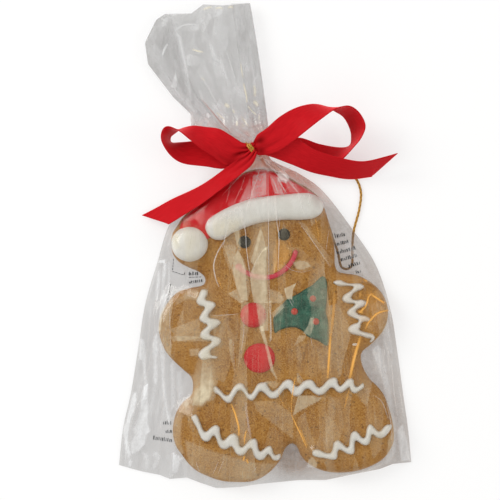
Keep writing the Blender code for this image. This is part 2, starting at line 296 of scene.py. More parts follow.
elastic = {
    "diameter": 1.3, "strandPitch": 2.6, "strands": 3, "relief": 0.07, "around": 16, "step": 0.2,
    "gold": (0.50, 0.245, 0.026), "glint": (0.62, 0.34, 0.055), "shade": (0.22, 0.10, 0.014),
    # each wrap: centre, heading in degrees, half its width and height, turns, advance of each turn, start
    "neckWrap": ((-4.0, 47.7, 6.5), 0, 6.45, 5.45, 3.0, 1.3, 0.4),
    "bowWrap": ((-7.2, 48.4, 15.2), -50, 3.1, 3.5, 1.3, 1.1, 0.3),
    "route": (
        (4.1, 46.5, 5.6), (9, 46.1, 4.4), (15, 44.8, 1.9), (23, 42.4, 0.68), (34, 38.6, 0.65),
        (44, 34.8, 0.65), (47.8, 27.5, 0.65), (47.2, 18.5, 0.65), (44.4, 7.5, 0.65), (43.6, -1.2, 0.65),
        (43.8, -5.2, 0.65), (43.6, -8.6, 0.65), (43, -10.5, 0.65), (41.5, -11.6, 0.65), (39.6, -11.6, 0.65),
        (38.1, -10.5, 0.65), (37.4, -8.6, 0.65), (36.8, -5.2, 0.65), (35.7, -1.2, 0.65), (33.7, 4.2, 0.65),
        (31.4, 11.2, 0.65), (29, 18.5, 0.65), (26.1, 23.8, 0.65), (21.7, 27.8, 0.65), (15, 31.4, 0.65),
        (8, 34.4, 0.65), (2.4, 38, 0.7), (-1.2, 42.2, 1), (-2.6, 45.2, 1.5),
    ),
}

# painted shade: the braid turns to the shade colour in the grooves between its raised strands
goldBraid, tree, shader = newMaterial("goldBraid")
thread = noise(tree, node(tree, "UVMap"), 900.0)
fill(tree, shader, {
    "Base Color": mixed(tree, attribute(tree, "strand"), elastic["shade"],
                        mixed(tree, thread, elastic["gold"], elastic["glint"])),
    "Metallic": 0.2, "Roughness": 0.34})


def braidedTube(name, path):
    # a round tube along a path, whose radius swells where two sets of helical strands cross the surface
    path = np.asarray(path, float)
    ahead = np.gradient(path, axis=0)
    ahead /= np.linalg.norm(ahead, axis=1)[:, None]
    level = np.cross(ahead, (0.03, 0.05, 1.0))
    level /= np.linalg.norm(level, axis=1)[:, None]
    upright = np.cross(level, ahead)
    run = lengthsAlong(path)[:, None]
    turn = np.linspace(0, 2 * np.pi, elastic["around"], endpoint=False)
    phase = 2 * np.pi * run / elastic["strandPitch"]
    coiled = elastic["strands"] * turn
    strands = np.maximum(np.cos(coiled - phase), np.cos(coiled + phase))
    radius = elastic["diameter"] / 2 * (1 - elastic["relief"] * 0.5 + elastic["relief"] * strands)
    outward = np.cos(turn)[:, None] * level[:, None] + np.sin(turn)[:, None] * upright[:, None]
    points = np.vstack([(path[:, None] + radius[..., None] * outward).reshape(-1, 3), path[[0, -1]]])
    uv = np.dstack(np.broadcast_arrays(turn / (2 * np.pi) * 0.004, run * mm))
    uv = np.vstack([uv.reshape(-1, 2), uv[[0, -1], 0]])
    # the strand attribute is low in the grooves between strands, where the material paints shade
    strand = np.r_[eased(-0.2, 0.5, strands).ravel(), 1, 1]
    return newPiece(name, points, tubeFaces(*radius.shape), goldBraid, uv, {"strand": strand})


loopPath = evenly(elastic["route"], elastic["step"])
hangingLoop = braidedTube("elasticLoop", loopPath)
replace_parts(hangingLoop, "hanging_loop")

dough = {
    "height": 10.0, "widest": 4.6, "topRound": 5.5, "underRound": 5.0, "lowest": 0.4, "puff": 0.7,
    "puffReach": 12, "bumps": ((0.16, 17, 3), (0.07, 6, 4)), "patchScale": 85.0, "grainScale": 1200.0,
    "edgeStep": 1.2, "spacing": 1.1, "underSpacing": 5.0, "rimFade": 7,
    "light": (0.450, 0.216, 0.045), "dark": (0.310, 0.125, 0.021), "fleck": (0.14, 0.055, 0.014),
    "baked": (0.38, 0.165, 0.034), "crumbLight": (0.64, 0.36, 0.105), "crumbDark": (0.22, 0.080, 0.014),
    "outline": (
        (0.5, 38.4), (-7.5, 37.4), (-15, 34.2), (-22.5, 29.7), (-29.4, 24.2), (-35.4, 19.2), (-40.4, 14.7),
        (-43.9, 9.7), (-46.2, 5.7), (-46.7, 0.7), (-45.9, -4.2), (-42.9, -8.2), (-37.9, -11), (-32.9, -13.2),
        (-29.9, -16.2), (-30.9, -19.7), (-37.4, -21.2), (-43.4, -23.2), (-47.9, -27.7), (-51.4, -33.7),
        (-52.9, -39.7), (-52.4, -45.6), (-49.9, -52.1), (-46.4, -56.6), (-41.4, -61.4), (-36.9, -65.6),
        (-35.9, -70.1), (-36.9, -74.6), (-40.9, -78.1), (-43.9, -82.6), (-45.7, -88.6), (-45.9, -94.5),
        (-44.4, -100), (-41.7, -104), (-38.4, -108.5), (-33.9, -112.5), (-27.5, -115.5), (-21, -117.5),
        (-13, -118), (-6, -117.5), (0, -114.7), (5, -110.3), (8, -106), (10, -101.3), (12, -99.3),
        (14, -98.8), (16.2, -100.8), (17.9, -104.8), (21.4, -108.5), (25.9, -111.2), (32.4, -113),
        (39.9, -113.2), (47.4, -112), (54.4, -109.3), (59.3, -106), (62.3, -102), (64.1, -97.5),
        (64.3, -92.5), (63.3, -86.6), (61.6, -80.6), (59.3, -74.6), (55.9, -70.1), (52.1, -66.4),
        (49.4, -61.9), (47.9, -57.1), (48.4, -53.1), (52.9, -49.1), (57.6, -44.2), (60.3, -39.7),
        (61.3, -34.7), (60.8, -29.2), (57.8, -23.2), (52.9, -18.5), (46.4, -15), (40.4, -14), (36.4, -13),
        (34.8, -9.2), (34.7, -3.2), (33.9, 3.2), (31.9, 11.2), (29.4, 18.7), (26.4, 24.2), (21.9, 28.2),
        (15.9, 31.7), (8, 35.9),
    ),
}
cookieEdge = evenly(dough["outline"], dough["edgeStep"], closed=True)

cell = 0.5  # spacing of the maps of what lies in the bag
mapX, mapY = np.arange(-78, 78, cell), np.arange(-126, 54, cell)
gridX, gridY = np.meshgrid(mapX, mapY)


def onMap(field, x, y):
    # a map read between its cells, by the share of each of the four around the place
    column = np.clip((np.asarray(x, float) - mapX[0]) / cell, 0, len(mapX) - 1.001)
    row = np.clip((np.asarray(y, float) - mapY[0]) / cell, 0, len(mapY) - 1.001)
    c, r = column.astype(int), row.astype(int)
    fc, fr = column - c, row - r
    return ((field[r, c] * (1 - fc) + field[r, c + 1] * fc) * (1 - fr)
            + (field[r + 1, c] * (1 - fc) + field[r + 1, c + 1] * fc) * fr)


insideCookie = reach(gridX, gridY, cookieEdge)


def doughTop(x, y, fromRim=None):
    # a rounded rim, then a top that swells gently towards the middle, with shallow baked unevenness
    inside = np.maximum(onMap(insideCookie, x, y), 0) if fromRim is None else fromRim
    rise = dough["widest"] + (dough["height"] - dough["widest"]) * roundedEdge(inside / dough["topRound"])
    swell = dough["puff"] * (1 - np.exp(-np.maximum(inside - dough["topRound"], 0) / dough["puffReach"]))
    uneven = sum(lift * wobble(x, y, size, seed) for lift, size, seed in dough["bumps"])
    return rise + swell + uneven * eased(0, 5, inside)


def doughUnder(x, y, fromRim):
    # from the widest height down to the lowest by a quarter circle
    return dough["widest"] - (dough["widest"] - dough["lowest"]) * roundedEdge(fromRim / dough["underRound"])


bakedDough, tree, shader = newMaterial("bakedDough")
look = crumbled(tree, dough["patchScale"], dough["grainScale"])
colour = mixed(tree, look["Patches"], dough["dark"], dough["light"])
colour = mixed(tree, ranged(tree, look["Grain"], 0.45, 0.72, 0.0, 0.62), colour, dough["crumbLight"])
colour = mixed(tree, ranged(tree, look["Grain"], 0.45, 0.28, 0.0, 0.70), colour, dough["crumbDark"])
colour = mixed(tree, ranged(tree, attribute(tree, "rim"), 0.0, 1.0, 0.0, 0.18), colour, dough["baked"])
colour = mixed(tree, ranged(tree, look["Flecks"], 0.0, 1.0, 0.0, 0.6), colour, dough["fleck"])
fill(tree, shader, {
    "Base Color": colour, "Specular IOR Level": 0.2,
    "Roughness": ranged(tree, look["Grain"], 0.3, 0.7, 0.62, 0.82),
    "Normal": bumped(tree, look["Height"], 0.6, 0.0005)})

roundSteps = 1 - np.cos(np.linspace(0, np.pi / 2, 8))
points, faces, fromRim = pillow(
    cookieEdge, dough["topRound"] * roundSteps, dough["spacing"], doughTop,
    dough["underRound"] * roundSteps[::2], dough["underSpacing"], doughUnder)
rim = np.ones(len(points))
rim[:len(fromRim)] = 1 - eased(0, dough["rimFade"], fromRim)
contents = [newPiece("cookieDough", points, faces, bakedDough, layers={"rim": rim})]
print("dough:", len(points), "points")

plain = (0.0, (0.8, 0.78, 0.7), 120.0)  # a finish without speckles
icingBody = {
    "grainScale": 1900.0, "grainDepth": 0.0003, "bed": 0.25, "sink": 0.7, "domeDip": 0.12, "treeRise": 1.35,
}
icing = {  # each finish: colour, deeper colour, roughness, shine, speckled share, speckle, patches' scale
    "white": ((0.79, 0.775, 0.725), (0.70, 0.675, 0.61), 0.42, 0.5, *plain),
    "hatRed": ((0.70, 0.009, 0.015), (0.58, 0.006, 0.011), 0.5, 0.15, *plain),
    "buttonRed": ((0.66, 0.016, 0.024), (0.55, 0.009, 0.016), 0.45, 0.15, 0.10, *plain[1:]),
    "lipRed": ((0.70, 0.050, 0.085), (0.60, 0.04, 0.07), 0.4, 0.5, *plain),
    "eye": ((0.040, 0.036, 0.028), (0.020, 0.018, 0.014), 0.5, 0.2, 0.08, *plain[1:]),
    "green": ((0.048, 0.160, 0.104), (0.014, 0.052, 0.034), 0.5, 0.25, 0.55, (0.24, 0.44, 0.34), 260.0),
    "berry": ((0.56, 0.060, 0.036), (0.44, 0.035, 0.022), 0.35, 0.5, *plain),
}
iced = {}
for finish, (light, deep, roughness, shine, speckled, speckle, patchSize) in icing.items():
    iced[finish], tree, shader = newMaterial(finish + "Icing")
    look = crumbled(tree, patchSize, icingBody["grainScale"])
    colour = mixed(tree, look["Patches"], deep, light)
    colour = mixed(tree, ranged(tree, look["Grain"], 0.5, 0.8, 0.0, speckled), colour, speckle)
    fill(tree, shader, {
        "Base Color": colour, "Specular IOR Level": shine,
        "Roughness": ranged(tree, look["Grain"], 0.3, 0.7, roughness - 0.06, roughness + 0.1),
        "Normal": bumped(tree, look["Grain"], 0.22, icingBody["grainDepth"])})


def treeTop(x, y):
    # the tree's level top, where its berries sit
    return doughTop(x, y) + icingBody["treeRise"]


def mound(name, outline, step, rise, edge, spacing, finish, flatTop):
    # icing flooded over an outline: the dough's height, plus a rise that rounds off within edge of the rim
    bed = icingBody["bed"]

    def top(x, y, inside):
        return doughTop(x, y) - bed + (rise + bed) * roundedEdge(inside / edge) ** flatTop

    def under(x, y, inside):
        return doughTop(x, y) - bed - 0.5 * eased(0, 1, inside)

    loop = evenly(outline, step, closed=True)
    points, faces, _ = pillow(loop, [0.0, 0.22], spacing, top, [0.0], 3.0, under)
    contents.append(newPiece(name, points, faces, iced[finish]))


def dome(name, centre, halfX, halfY, height, finish, base=doughTop, flat=2.6):
    # rings round a vertical axis: radius falls as a power of the climb's cosine, height rises as its sine
    sink, dip = icingBody["sink"], icingBody["domeDip"]
    climb = np.linspace(0, np.pi / 2, 12)[:-1]
    radius = np.r_[0.8, np.cos(climb) ** (2 / flat)]
    lift = np.r_[-sink, height * np.sin(climb) - dip]
    turn = np.linspace(0, 2 * np.pi, 40, endpoint=False)
    x = centre[0] + halfX * np.outer(radius, np.cos(turn))
    y = centre[1] + halfY * np.outer(radius, np.sin(turn))
    z = base(x, y) + lift[:, None]
    middle = base(np.array(centre[0]), np.array(centre[1]))
    poles = (*centre, middle - sink), (*centre, middle + height - dip)
    points = np.vstack([np.dstack([x, y, z]).reshape(-1, 3), *poles])
    contents.append(newPiece(name, points, tubeFaces(*x.shape), iced[finish]))


def piped(name, route, half, height, finish):
    # a rope of icing: a half-round profile carried along a level path, a little uneven, round at both ends
    path = evenly(route, 0.45)
    run = lengthsAlong(path)
    side = sideways(path)
    fullness = 1 + 0.05 * wobble(run, 0 * run + 7, 5, 7)
    end = roundedEdge(np.clip(np.minimum(run, run[-1] - run) / half, 0.02, 1))
    turn = np.linspace(0, 2 * np.pi, 18, endpoint=False)
    across = half * (fullness * end)[:, None] * np.sign(np.cos(turn)) * np.abs(np.cos(turn)) ** 0.85
    climb = np.abs(np.sin(turn))
    lift = np.where(np.sin(turn) > 0, height * climb ** 0.9, -icingBody["sink"] * climb)
    base = doughTop(path[:, 0], path[:, 1])[:, None]
    x, y = path[:, :1] + across * side[:, :1], path[:, 1:] + across * side[:, 1:]
    z = base + (0.35 + 0.65 * end * fullness)[:, None] * lift
    points = np.vstack([np.dstack([x, y, z]).reshape(-1, 3), np.hstack([path, base])[[0, -1]]])
    contents.append(newPiece(name, points, tubeFaces(*x.shape), iced[finish]))


hatOutline = (
    (0.5, 37.8), (-7.5, 36.8), (-15, 33.6), (-22.4, 29.1), (-29.4, 23.6), (-35.4, 18.6), (-39.8, 14.2),
    (-42.3, 10.2), (-41.8, 6.2), (-37.4, 4.7), (-30.4, 2.7), (-26.4, 4.7), (-21.4, 9.7), (-7.5, 15.2),
    (12.4, 18.1), (23.3, 20.1), (26.8, 23.1), (21.9, 27.4), (15.9, 30.8), (7.9, 35.1),
)
brimOutline = (
    (-29.9, 8.7), (-28.4, 5.2), (-25.4, 3), (-21.4, 2.7), (-18.9, 4.2), (-16.4, 6), (-12.5, 7.7), (-7.5, 9.7),
    (-2.5, 11.2), (2.4, 11.9), (9.9, 12.7), (17.4, 12.7), (22.8, 13.2), (26.3, 14.6), (28.3, 16.6),
    (29.3, 19.6), (29, 21.1), (27.3, 23.6), (23.8, 25.6), (19.8, 26.3), (9.9, 25.6), (2.4, 24.8),
    (-2.5, 24.3), (-7.5, 23.3), (-12.5, 21.6), (-17.4, 19.6), (-22.4, 17.1), (-26.4, 14.6), (-28.9, 12.2),
)
treeOutline = (
    (28.3, -15.2), (30.8, -17.7), (30.8, -27.1), (30.3, -33.1), (31.8, -39.5), (31.3, -49.7), (26.3, -47.5),
    (21.3, -45.5), (18.9, -43), (15.4, -41), (11.4, -41), (6.9, -42.5), (4.7, -43.8), (3.9, -37.1),
    (4.9, -34.6), (8.9, -28.6), (10.9, -26.6), (15.9, -24.1), (19.8, -21.6), (23.8, -19.2),
)
mouthRoute = (
    (-13, -10.7), (-11.5, -12.2), (-9.5, -13.4), (-5.5, -15.2), (-0.5, -15.9), (4.4, -15.2), (8.9, -12.7),
    (12.4, -9.2), (14.4, -5.7), (15.4, -2.2),
)
zigzags = {
    "leftArmZigzag": (
        (-30.4, -21.5), (-28.9, -21.9), (-28.4, -22.9), (-28.6, -24.4), (-29.4, -26.1), (-29.1, -27),
        (-27.4, -27.4), (-25.6, -27.9), (-24.5, -29.1), (-24.7, -30.6), (-26, -32), (-27.1, -33.3),
        (-27.9, -34.8), (-27.4, -35.8), (-25.4, -36.2), (-23.4, -36.6), (-21.9, -37.8), (-22.1, -39),
        (-23.7, -40.5), (-25.9, -42), (-27.2, -43), (-27.1, -44.2), (-25.4, -44.8), (-23.4, -45.4),
        (-21.9, -46.5), (-22, -48.2), (-23.2, -49.7), (-25.1, -51), (-26.9, -52.2), (-27.2, -53.5),
        (-26.6, -54.4), (-24.9, -54.7), (-23.4, -55.2), (-23.4, -55.9), (-24.7, -56.4), (-27.4, -56.4),
        (-30.4, -57), (-32.1, -56.7), (-33.4, -54.9), (-33.4, -53.5), (-32.1, -52), (-30.4, -50.6),
        (-28.4, -49.5), (-27, -48.2), (-27, -47.6), (-28.6, -47.2), (-30.6, -47), (-32.1, -46),
        (-32.5, -44.5), (-32, -43), (-30.6, -41.5), (-29.1, -40.1), (-29, -39.4), (-30.4, -38.9), (-32, -38),
        (-32.9, -36.6), (-32.6, -35.1), (-31.6, -33.3), (-30.5, -31.8), (-30.4, -30.8), (-31.9, -30.3),
        (-33.4, -29.6), (-34.3, -28.1), (-34.1, -26.6), (-33.1, -24.6), (-32.4, -22.9), (-31.6, -21.8),
    ),
    "rightArmZigzag": (
        (33.7, -18.2), (35.3, -17.3), (37.5, -17.1), (39.2, -17.8), (40.7, -18.5), (42.5, -18.8),
        (45.2, -18.7), (47.2, -18.8), (48.7, -19.5), (49.4, -20.6), (48.2, -22), (46.2, -22.8), (44.4, -23.7),
        (43.4, -25), (43.2, -26.1), (44.2, -26.8), (46.2, -26.9), (48.2, -26.8), (50.2, -27.6), (51, -28.8),
        (49.7, -30.1), (47.7, -31.1), (45.9, -32), (45.5, -32.8), (46.2, -33.7), (47.9, -34.5), (49.9, -34.8),
        (51.7, -35.8), (52.9, -36.9), (51.7, -37.8), (49.2, -38), (47.9, -39), (47.7, -40.5), (47.2, -41.8),
        (48.4, -42.4), (50.2, -43), (52.2, -43.5), (53.9, -44.3), (54.8, -45.7), (54.1, -47.5), (52.7, -48.6),
        (51.7, -48.1), (52.4, -47), (52.3, -46.4), (50.4, -46.2), (48.9, -45.6), (47.2, -45.2), (44.9, -44.7),
        (43, -44.1), (41.5, -43), (41.1, -41.5), (42, -40), (43.7, -38.9), (45.7, -38.3), (46.3, -37.5),
        (45.7, -36.9), (43.5, -36.1), (41.5, -35.1), (40.6, -33.6), (41.2, -32.1), (42.7, -30.8),
        (44.2, -29.6), (44.2, -29.1), (42.2, -29), (40.5, -28.8), (38.9, -28.1), (38.2, -26.6), (38.8, -24.9),
        (40.5, -23.6), (42.5, -22.4), (43.7, -21.1), (43.4, -20.5), (41.7, -20.2), (39.7, -20.3),
        (37.7, -20.5), (36, -20.1), (34.5, -19.3),
    ),
    "bellyZigzag": (
        (-25.9, -71.8), (-25.7, -70.6), (-24.7, -69.8), (-22.9, -70.9), (-21.4, -72.6), (-19.9, -74.1),
        (-18.9, -74.3), (-17.9, -73.9), (-16.9, -72.3), (-15.5, -70.1), (-13.5, -68.6), (-12, -68.3),
        (-10.5, -69.1), (-9.5, -70.9), (-8.5, -72.8), (-7.5, -73.7), (-6.5, -73.1), (-5.5, -71.6),
        (-4, -69.1), (-2.5, -68.1), (-0.5, -67.8), (0.7, -67.7), (1.4, -69.1), (2.4, -71.1), (3.4, -72.1),
        (4.4, -72.1), (5.9, -71.1), (7.4, -69.4), (8.9, -67.6), (10.9, -66.5), (12.4, -66.5), (13.6, -67.1),
        (14.6, -68.9), (15.4, -69.8), (16.4, -69.8), (17.4, -69), (18.8, -67.6), (20.8, -66.7), (22.8, -66.6),
        (24.3, -67.4), (25.3, -69.1), (26.3, -70.3), (27.5, -70.3), (28.8, -69.3), (30.3, -67.6),
        (31.8, -66.3), (33.8, -65.5), (35.3, -65.6), (36.2, -66.8), (36.4, -68.4), (37, -69.5), (37.7, -69.5),
        (39, -68.4), (40.5, -66.8), (42, -65.9), (43.2, -66), (44.2, -66.9), (44.4, -68.6), (45.2, -69.9),
        (46.2, -70), (47.2, -69.3), (48.2, -68.4), (48.9, -68.3), (49.3, -69.1), (49.2, -70.9), (47.7, -72),
        (46.2, -73.1), (44.7, -73.8), (43.5, -73.4), (42.5, -72.4), (41.7, -70.8), (41.2, -71.1),
        (40.2, -72.1), (38.7, -73.1), (37, -73.5), (35.5, -72.7), (34.3, -71.4), (33, -70.9), (31.8, -71.8),
        (30.3, -73.3), (28.5, -74.5), (26.8, -74.8), (25.1, -74.3), (23.6, -73.2), (22.3, -72), (21.1, -71.4),
        (19.8, -72), (18.8, -73.3), (17.9, -74.6), (16.4, -75.2), (14.6, -75.1), (13.1, -74.1), (12.1, -72.6),
        (11.1, -71.5), (9.9, -71.7), (8.7, -72.8), (7.4, -74.6), (5.9, -76), (3.9, -76.5), (2.2, -76.1),
        (0.7, -74.8), (-0.8, -73.3), (-2, -72.7), (-3, -73.3), (-4, -74.8), (-5, -76.3), (-6.3, -77.3),
        (-7.7, -77.2), (-9, -76.1), (-10.2, -74.2), (-11.5, -72.6), (-12.5, -72.2), (-13.5, -72.6),
        (-14.5, -74.1), (-15.5, -75.8), (-16.4, -77.6), (-17.9, -78.6), (-19.4, -78.3), (-20.9, -77.1),
        (-22.4, -75.3), (-23.9, -74.2), (-25.4, -73.2),
    ),
    "leftLegZigzag": (
        (-36.8, -86), (-36.6, -84.9), (-35.7, -84.2), (-34.3, -83.9), (-33.4, -85), (-32.4, -87.3),
        (-31.6, -89.5), (-30.9, -91.2), (-29.9, -92.3), (-28.9, -92.2), (-27.9, -91.2), (-26.4, -90),
        (-24.9, -89.2), (-23.4, -89.5), (-22.4, -90.7), (-22.3, -92.5), (-21.9, -94.7), (-21.2, -96.3),
        (-20.4, -96.6), (-19.4, -95.7), (-17.9, -94.2), (-16.4, -93.5), (-14.7, -93.5), (-13.5, -94.7),
        (-13, -96.7), (-12.5, -99.2), (-11.7, -100.1), (-10.7, -99.7), (-9.5, -98.4), (-8, -96.8),
        (-6.5, -96), (-4.8, -95.9), (-3.8, -97), (-3.5, -99.2), (-2.9, -101.6), (-2.1, -102.1), (-1, -101.4),
        (0.5, -100.2), (1.9, -99.6), (3.2, -99.9), (3.9, -101.7), (4.4, -103.4), (5.4, -104.1), (6.7, -103.7),
        (7.7, -103.6), (8, -104.6), (7.7, -106.1), (6.7, -107.1), (4.9, -107.2), (3.7, -106.6), (2.8, -105.4),
        (1.9, -104.3), (1.2, -104.2), (0.5, -105.2), (-0.5, -106.4), (-2, -107), (-3.5, -106.9), (-5, -105.9),
        (-5.9, -104.2), (-6.4, -102.2), (-7.1, -101.1), (-8, -101.4), (-9, -102.7), (-10, -103.9),
        (-11.5, -104.6), (-13, -104.6), (-14.5, -103.6), (-15.5, -101.9), (-16.4, -100.5), (-17.4, -100.3),
        (-18.7, -101.2), (-20.2, -101.5), (-21.9, -101.1), (-23.2, -99.7), (-24, -97.7), (-24.8, -95.6),
        (-25.5, -94.8), (-26.4, -95.5), (-27.4, -97), (-28.6, -97.7), (-30.1, -97.6), (-31.6, -96.5),
        (-32.6, -94.7), (-33.4, -92.7), (-34.3, -90.5), (-35.6, -88.5),
    ),
    "rightLegZigzag": (
        (23.3, -103.4), (23.8, -101.9), (25.3, -101.3), (27.3, -101.6), (29.3, -102.6), (31.3, -103.2),
        (32.5, -102.9), (33.3, -101.7), (33.7, -99.7), (34, -98.1), (35.3, -97), (36.7, -96.8), (38.2, -97.9),
        (39.7, -99.4), (40.7, -100.2), (41.5, -99.7), (41.8, -97.7), (42.1, -95.5), (42.6, -93.5),
        (44, -92.3), (45.4, -92.2), (46.7, -93.3), (47.9, -94.9), (48.9, -95.5), (49.7, -95), (50.2, -93.2),
        (50.4, -91.2), (51.2, -89.5), (52.4, -88.8), (53.6, -89.5), (54.9, -91), (56.1, -92.1), (57.1, -92.2),
        (58.1, -91.4), (59.4, -89.9), (60.9, -89), (62.6, -89), (63.2, -89.7), (63.1, -91), (62.1, -92.5),
        (60.9, -94.1), (59.4, -95.5), (57.6, -96.1), (56.1, -95.9), (54.6, -95), (53.4, -94.1), (53, -94.7),
        (52.7, -96.5), (52.2, -98.2), (51.2, -99.3), (49.9, -99.6), (48.2, -99.2), (46.7, -98.2),
        (45.4, -97.3), (44.8, -98.2), (44.7, -100.2), (44.7, -102.4), (44, -103.7), (42.5, -104.2),
        (40.7, -103.7), (39, -102.7), (37.5, -101.9), (36.5, -102.1), (36.2, -103.7), (36.1, -105.4),
        (35.3, -106.5), (33.8, -106.7), (31.3, -106.3), (28.3, -105.8), (25.3, -105.3), (23.8, -104.5),
    ),
}
mound("hatIcing", hatOutline, 0.8, 1.3, 2.2, 0.9, "hatRed", 0.5)
mound("hatBrim", brimOutline, 0.7, 4.6, 5.2, 0.6, "white", 0.8)
mound("treeIcing", treeOutline, 0.6, 1.5, 1.4, 0.6, "green", 0.5)
dome("pompom", (-37.6, 0.7), 9.2, 8.8, 5.2, "white")
dome("leftEye", (-10.2, 1.7), 3.15, 3.15, 1.3, "eye")
dome("rightEye", (9.4, 5.5), 3.05, 3.05, 1.3, "eye")
dome("upperButton", (-5.8, -34.6), 6.5, 6.3, 2.3, "buttonRed")
dome("lowerButton", (-2.8, -56), 7.8, 7.4, 2.6, "buttonRed")
dome("topBerry", (23.8, -26.4), 1.6, 1.6, 1.2, "berry", treeTop)
dome("leftBerry", (14.6, -32.8), 1.7, 1.7, 1.2, "berry", treeTop)
dome("rightBerry", (25.3, -37.8), 1.7, 1.7, 1.2, "berry", treeTop)
piped("mouth", mouthRoute, 1.25, 1.5, "lipRed")
dome("mouthEnd", mouthRoute[0], 1.9, 1.8, 1.6, "lipRed", flat=2.0)
for name, outline in zigzags.items():
    mound(name, outline, 0.6, 2.4, 2.1, 0.5, "white", 0.85)
dome("rightArmZigzagEnd", (44.9, -49.3), 1.5, 0.7, 0.9, "white", flat=2.0)
print("icing: %d pieces" % (len(contents) - 1))

# the height of what the film has to pass over
contentsTop = np.zeros(gridX.shape)
for piece in contents:
    spots = np.empty(len(piece.data.vertices) * 3, np.float32)
    piece.data.vertices.foreach_get("co", spots)
    spots = spots.reshape(-1, 3) / mm
    columns, rows = np.round((spots[:, :2] - (mapX[0], mapY[0])) / cell).astype(int).T
    np.maximum.at(contentsTop, (rows, columns), spots[:, 2])


def fourBeside(field):
    # a map moved by one cell each way
    return [np.roll(field, step, axis) for axis in (0, 1) for step in (1, -1)]


for _ in range(2):  # each cell takes the highest of itself and its eight neighbours, twice over
    for axis in (0, 1):
        contentsTop = np.maximum.reduce([np.roll(contentsTop, step, axis) for step in (-1, 0, 1)])

film = {
    "neck": (-4.0, 46.5, 6.5), "neckHalf": (5.5, 4.5), "sideHeight": 0.7, "clearance": 0.25, "sag": 0.0012,
    "lowestRow": -109.0, "frontGrid": (320, 300), "backGrid": (150, 170), "overContents": 0.12,
    "sheetGap": 0.05, "foldStep": 0.6, "foldLift": 0.06, "foldRise": 0.22,
    "leftEdge": (
        (-73, -109.5), (-71, -91), (-67, -73), (-63.5, -52), (-60, -30), (-54, -9), (-47.5, 11), (-36, 25),
        (-21.5, 36), (-11, 42), (-9.5, 46.5),
    ),
    "rightEdge": (
        (73, -108.5), (71.5, -92), (69, -74), (66, -52), (62.5, -31), (55.5, -10), (44.5, 7), (29.5, 26.5),
        (17.5, 35.5), (4, 42), (1.5, 46.5),
    ),
    "bottomEdge": (
        (-73, -109.7), (-62.5, -112.7), (-52.5, -114.7), (-47.5, -116.7), (-39, -116), (-33.5, -118.2),
        (-24.5, -121.2), (-21, -121.2), (-12.5, -120.7), (-2.5, -119.2), (17.5, -117.2), (30.5, -117.2),
        (42.5, -114.7), (50, -113.2), (57.5, -111.7), (64, -109.2), (73.5, -108.2),
    ),
    # the back and fan sheets let less through than the front: painted shade in place of the shadow under the
    # bag
    "lets": (0.930, 0.930, 0.929), "backLetsAndShade": (0.750, 0.742, 0.736), "fanLetsAndShade": (0.868, 0.865, 0.862),
    "mirror": 0.022, "mirrorTint": (1.0, 0.98, 0.94, 1.0),
    # the colours below paint light: white and cream reflections, amber glints, a brown shadow, a darker
    # shade, a rosy reflection of the ribbon's red, a rose shade line and a pale glint
    "white": (0.88, 0.89, 0.90), "cream": (0.87, 0.785, 0.56), "amber": (0.95, 0.48, 0.10),
    "shadeBrown": (0.43, 0.29, 0.19), "shade": (0.20, 0.10, 0.05), "rosy": (0.78, 0.36, 0.25),
    "rose": (0.50, 0.22, 0.17), "glint": (0.93, 0.89, 0.70),
}
leftCurve, rightCurve = through(film["leftEdge"], 240), through(film["rightEdge"], 240)


# the bag's edges read at a height or a width, and the share of the way from the left edge to the right
def leftAt(y):
    return np.interp(y, leftCurve[:, 1], leftCurve[:, 0])


def rightAt(y):
    return np.interp(y, rightCurve[:, 1], rightCurve[:, 0])


def bottomAt(x):
    return np.interp(x, *np.transpose(film["bottomEdge"]))


def acrossAt(x, y):
    return (x - leftAt(y)) / (rightAt(y) - leftAt(y))


def fromSide(across, y):
    # distance to the nearer side edge, at a share of the way across
    return np.minimum(across, 1 - across) * (rightAt(y) - leftAt(y))


def sideHeightAt(y):
    # the side edges lie low and climb to the neck's height
    return film["sideHeight"] + (film["neck"][2] - film["sideHeight"]) * eased(24, 45, y)


def neckArch(x, y):
    # half an ellipse over the neck's width
    across = 2 * np.clip(acrossAt(x, y), 0, 1) - 1
    return film["neckHalf"][1] * np.sqrt(1 - across**2)


def draped(below, held, heldAt):
    # film pulled tight: on coarse cells and then finer ones, each free place takes the mean of its four
    # neighbours less a little sag, never under what lies below it; held places keep their height
    sheet = None
    for step, rounds in ((8, 400), (4, 300), (2, 250), (1, 160)):
        floor, fixed, fixedAt = below[::step, ::step], held[::step, ::step], heldAt[::step, ::step]
        if sheet is None:
            sheet = np.maximum(floor, fixedAt)
        else:
            sheet = np.repeat(np.repeat(sheet, 2, 0), 2, 1)[:floor.shape[0], :floor.shape[1]]
        for _ in range(rounds):
            mean = 0.25 * sum(fourBeside(sheet))
            sheet = np.where(fixed, fixedAt, np.maximum(mean - film["sag"] * step * step, floor))
    return sheet


outsideBag = ((gridX < leftAt(gridY)) | (gridX > rightAt(gridY)) | (gridY < bottomAt(gridX) + 0.5))
atNeck = gridY > film["neck"][1] - 1.5
heldAt = np.where(atNeck, film["neck"][2] + neckArch(gridX, gridY), sideHeightAt(gridY))
clearOf = np.where(contentsTop > 0, contentsTop + film["clearance"], 1.6)
drapeTop = draped(clearOf, outsideBag | atNeck, heldAt)
for _ in range(3):
    drapeTop = 0.2 * sum([drapeTop, *fourBeside(drapeTop)])
print("film draped")


def wandering(x, y, angle, size, bend, bendSize, seed):
    # triangle waves along a heading in degrees, whose crests wander by a smooth random field
    heading = math.radians(angle)
    place = (x * math.sin(heading) - y * math.cos(heading)) / size
    return creased(place + bend * wobble(x, y, bendSize * size, seed))


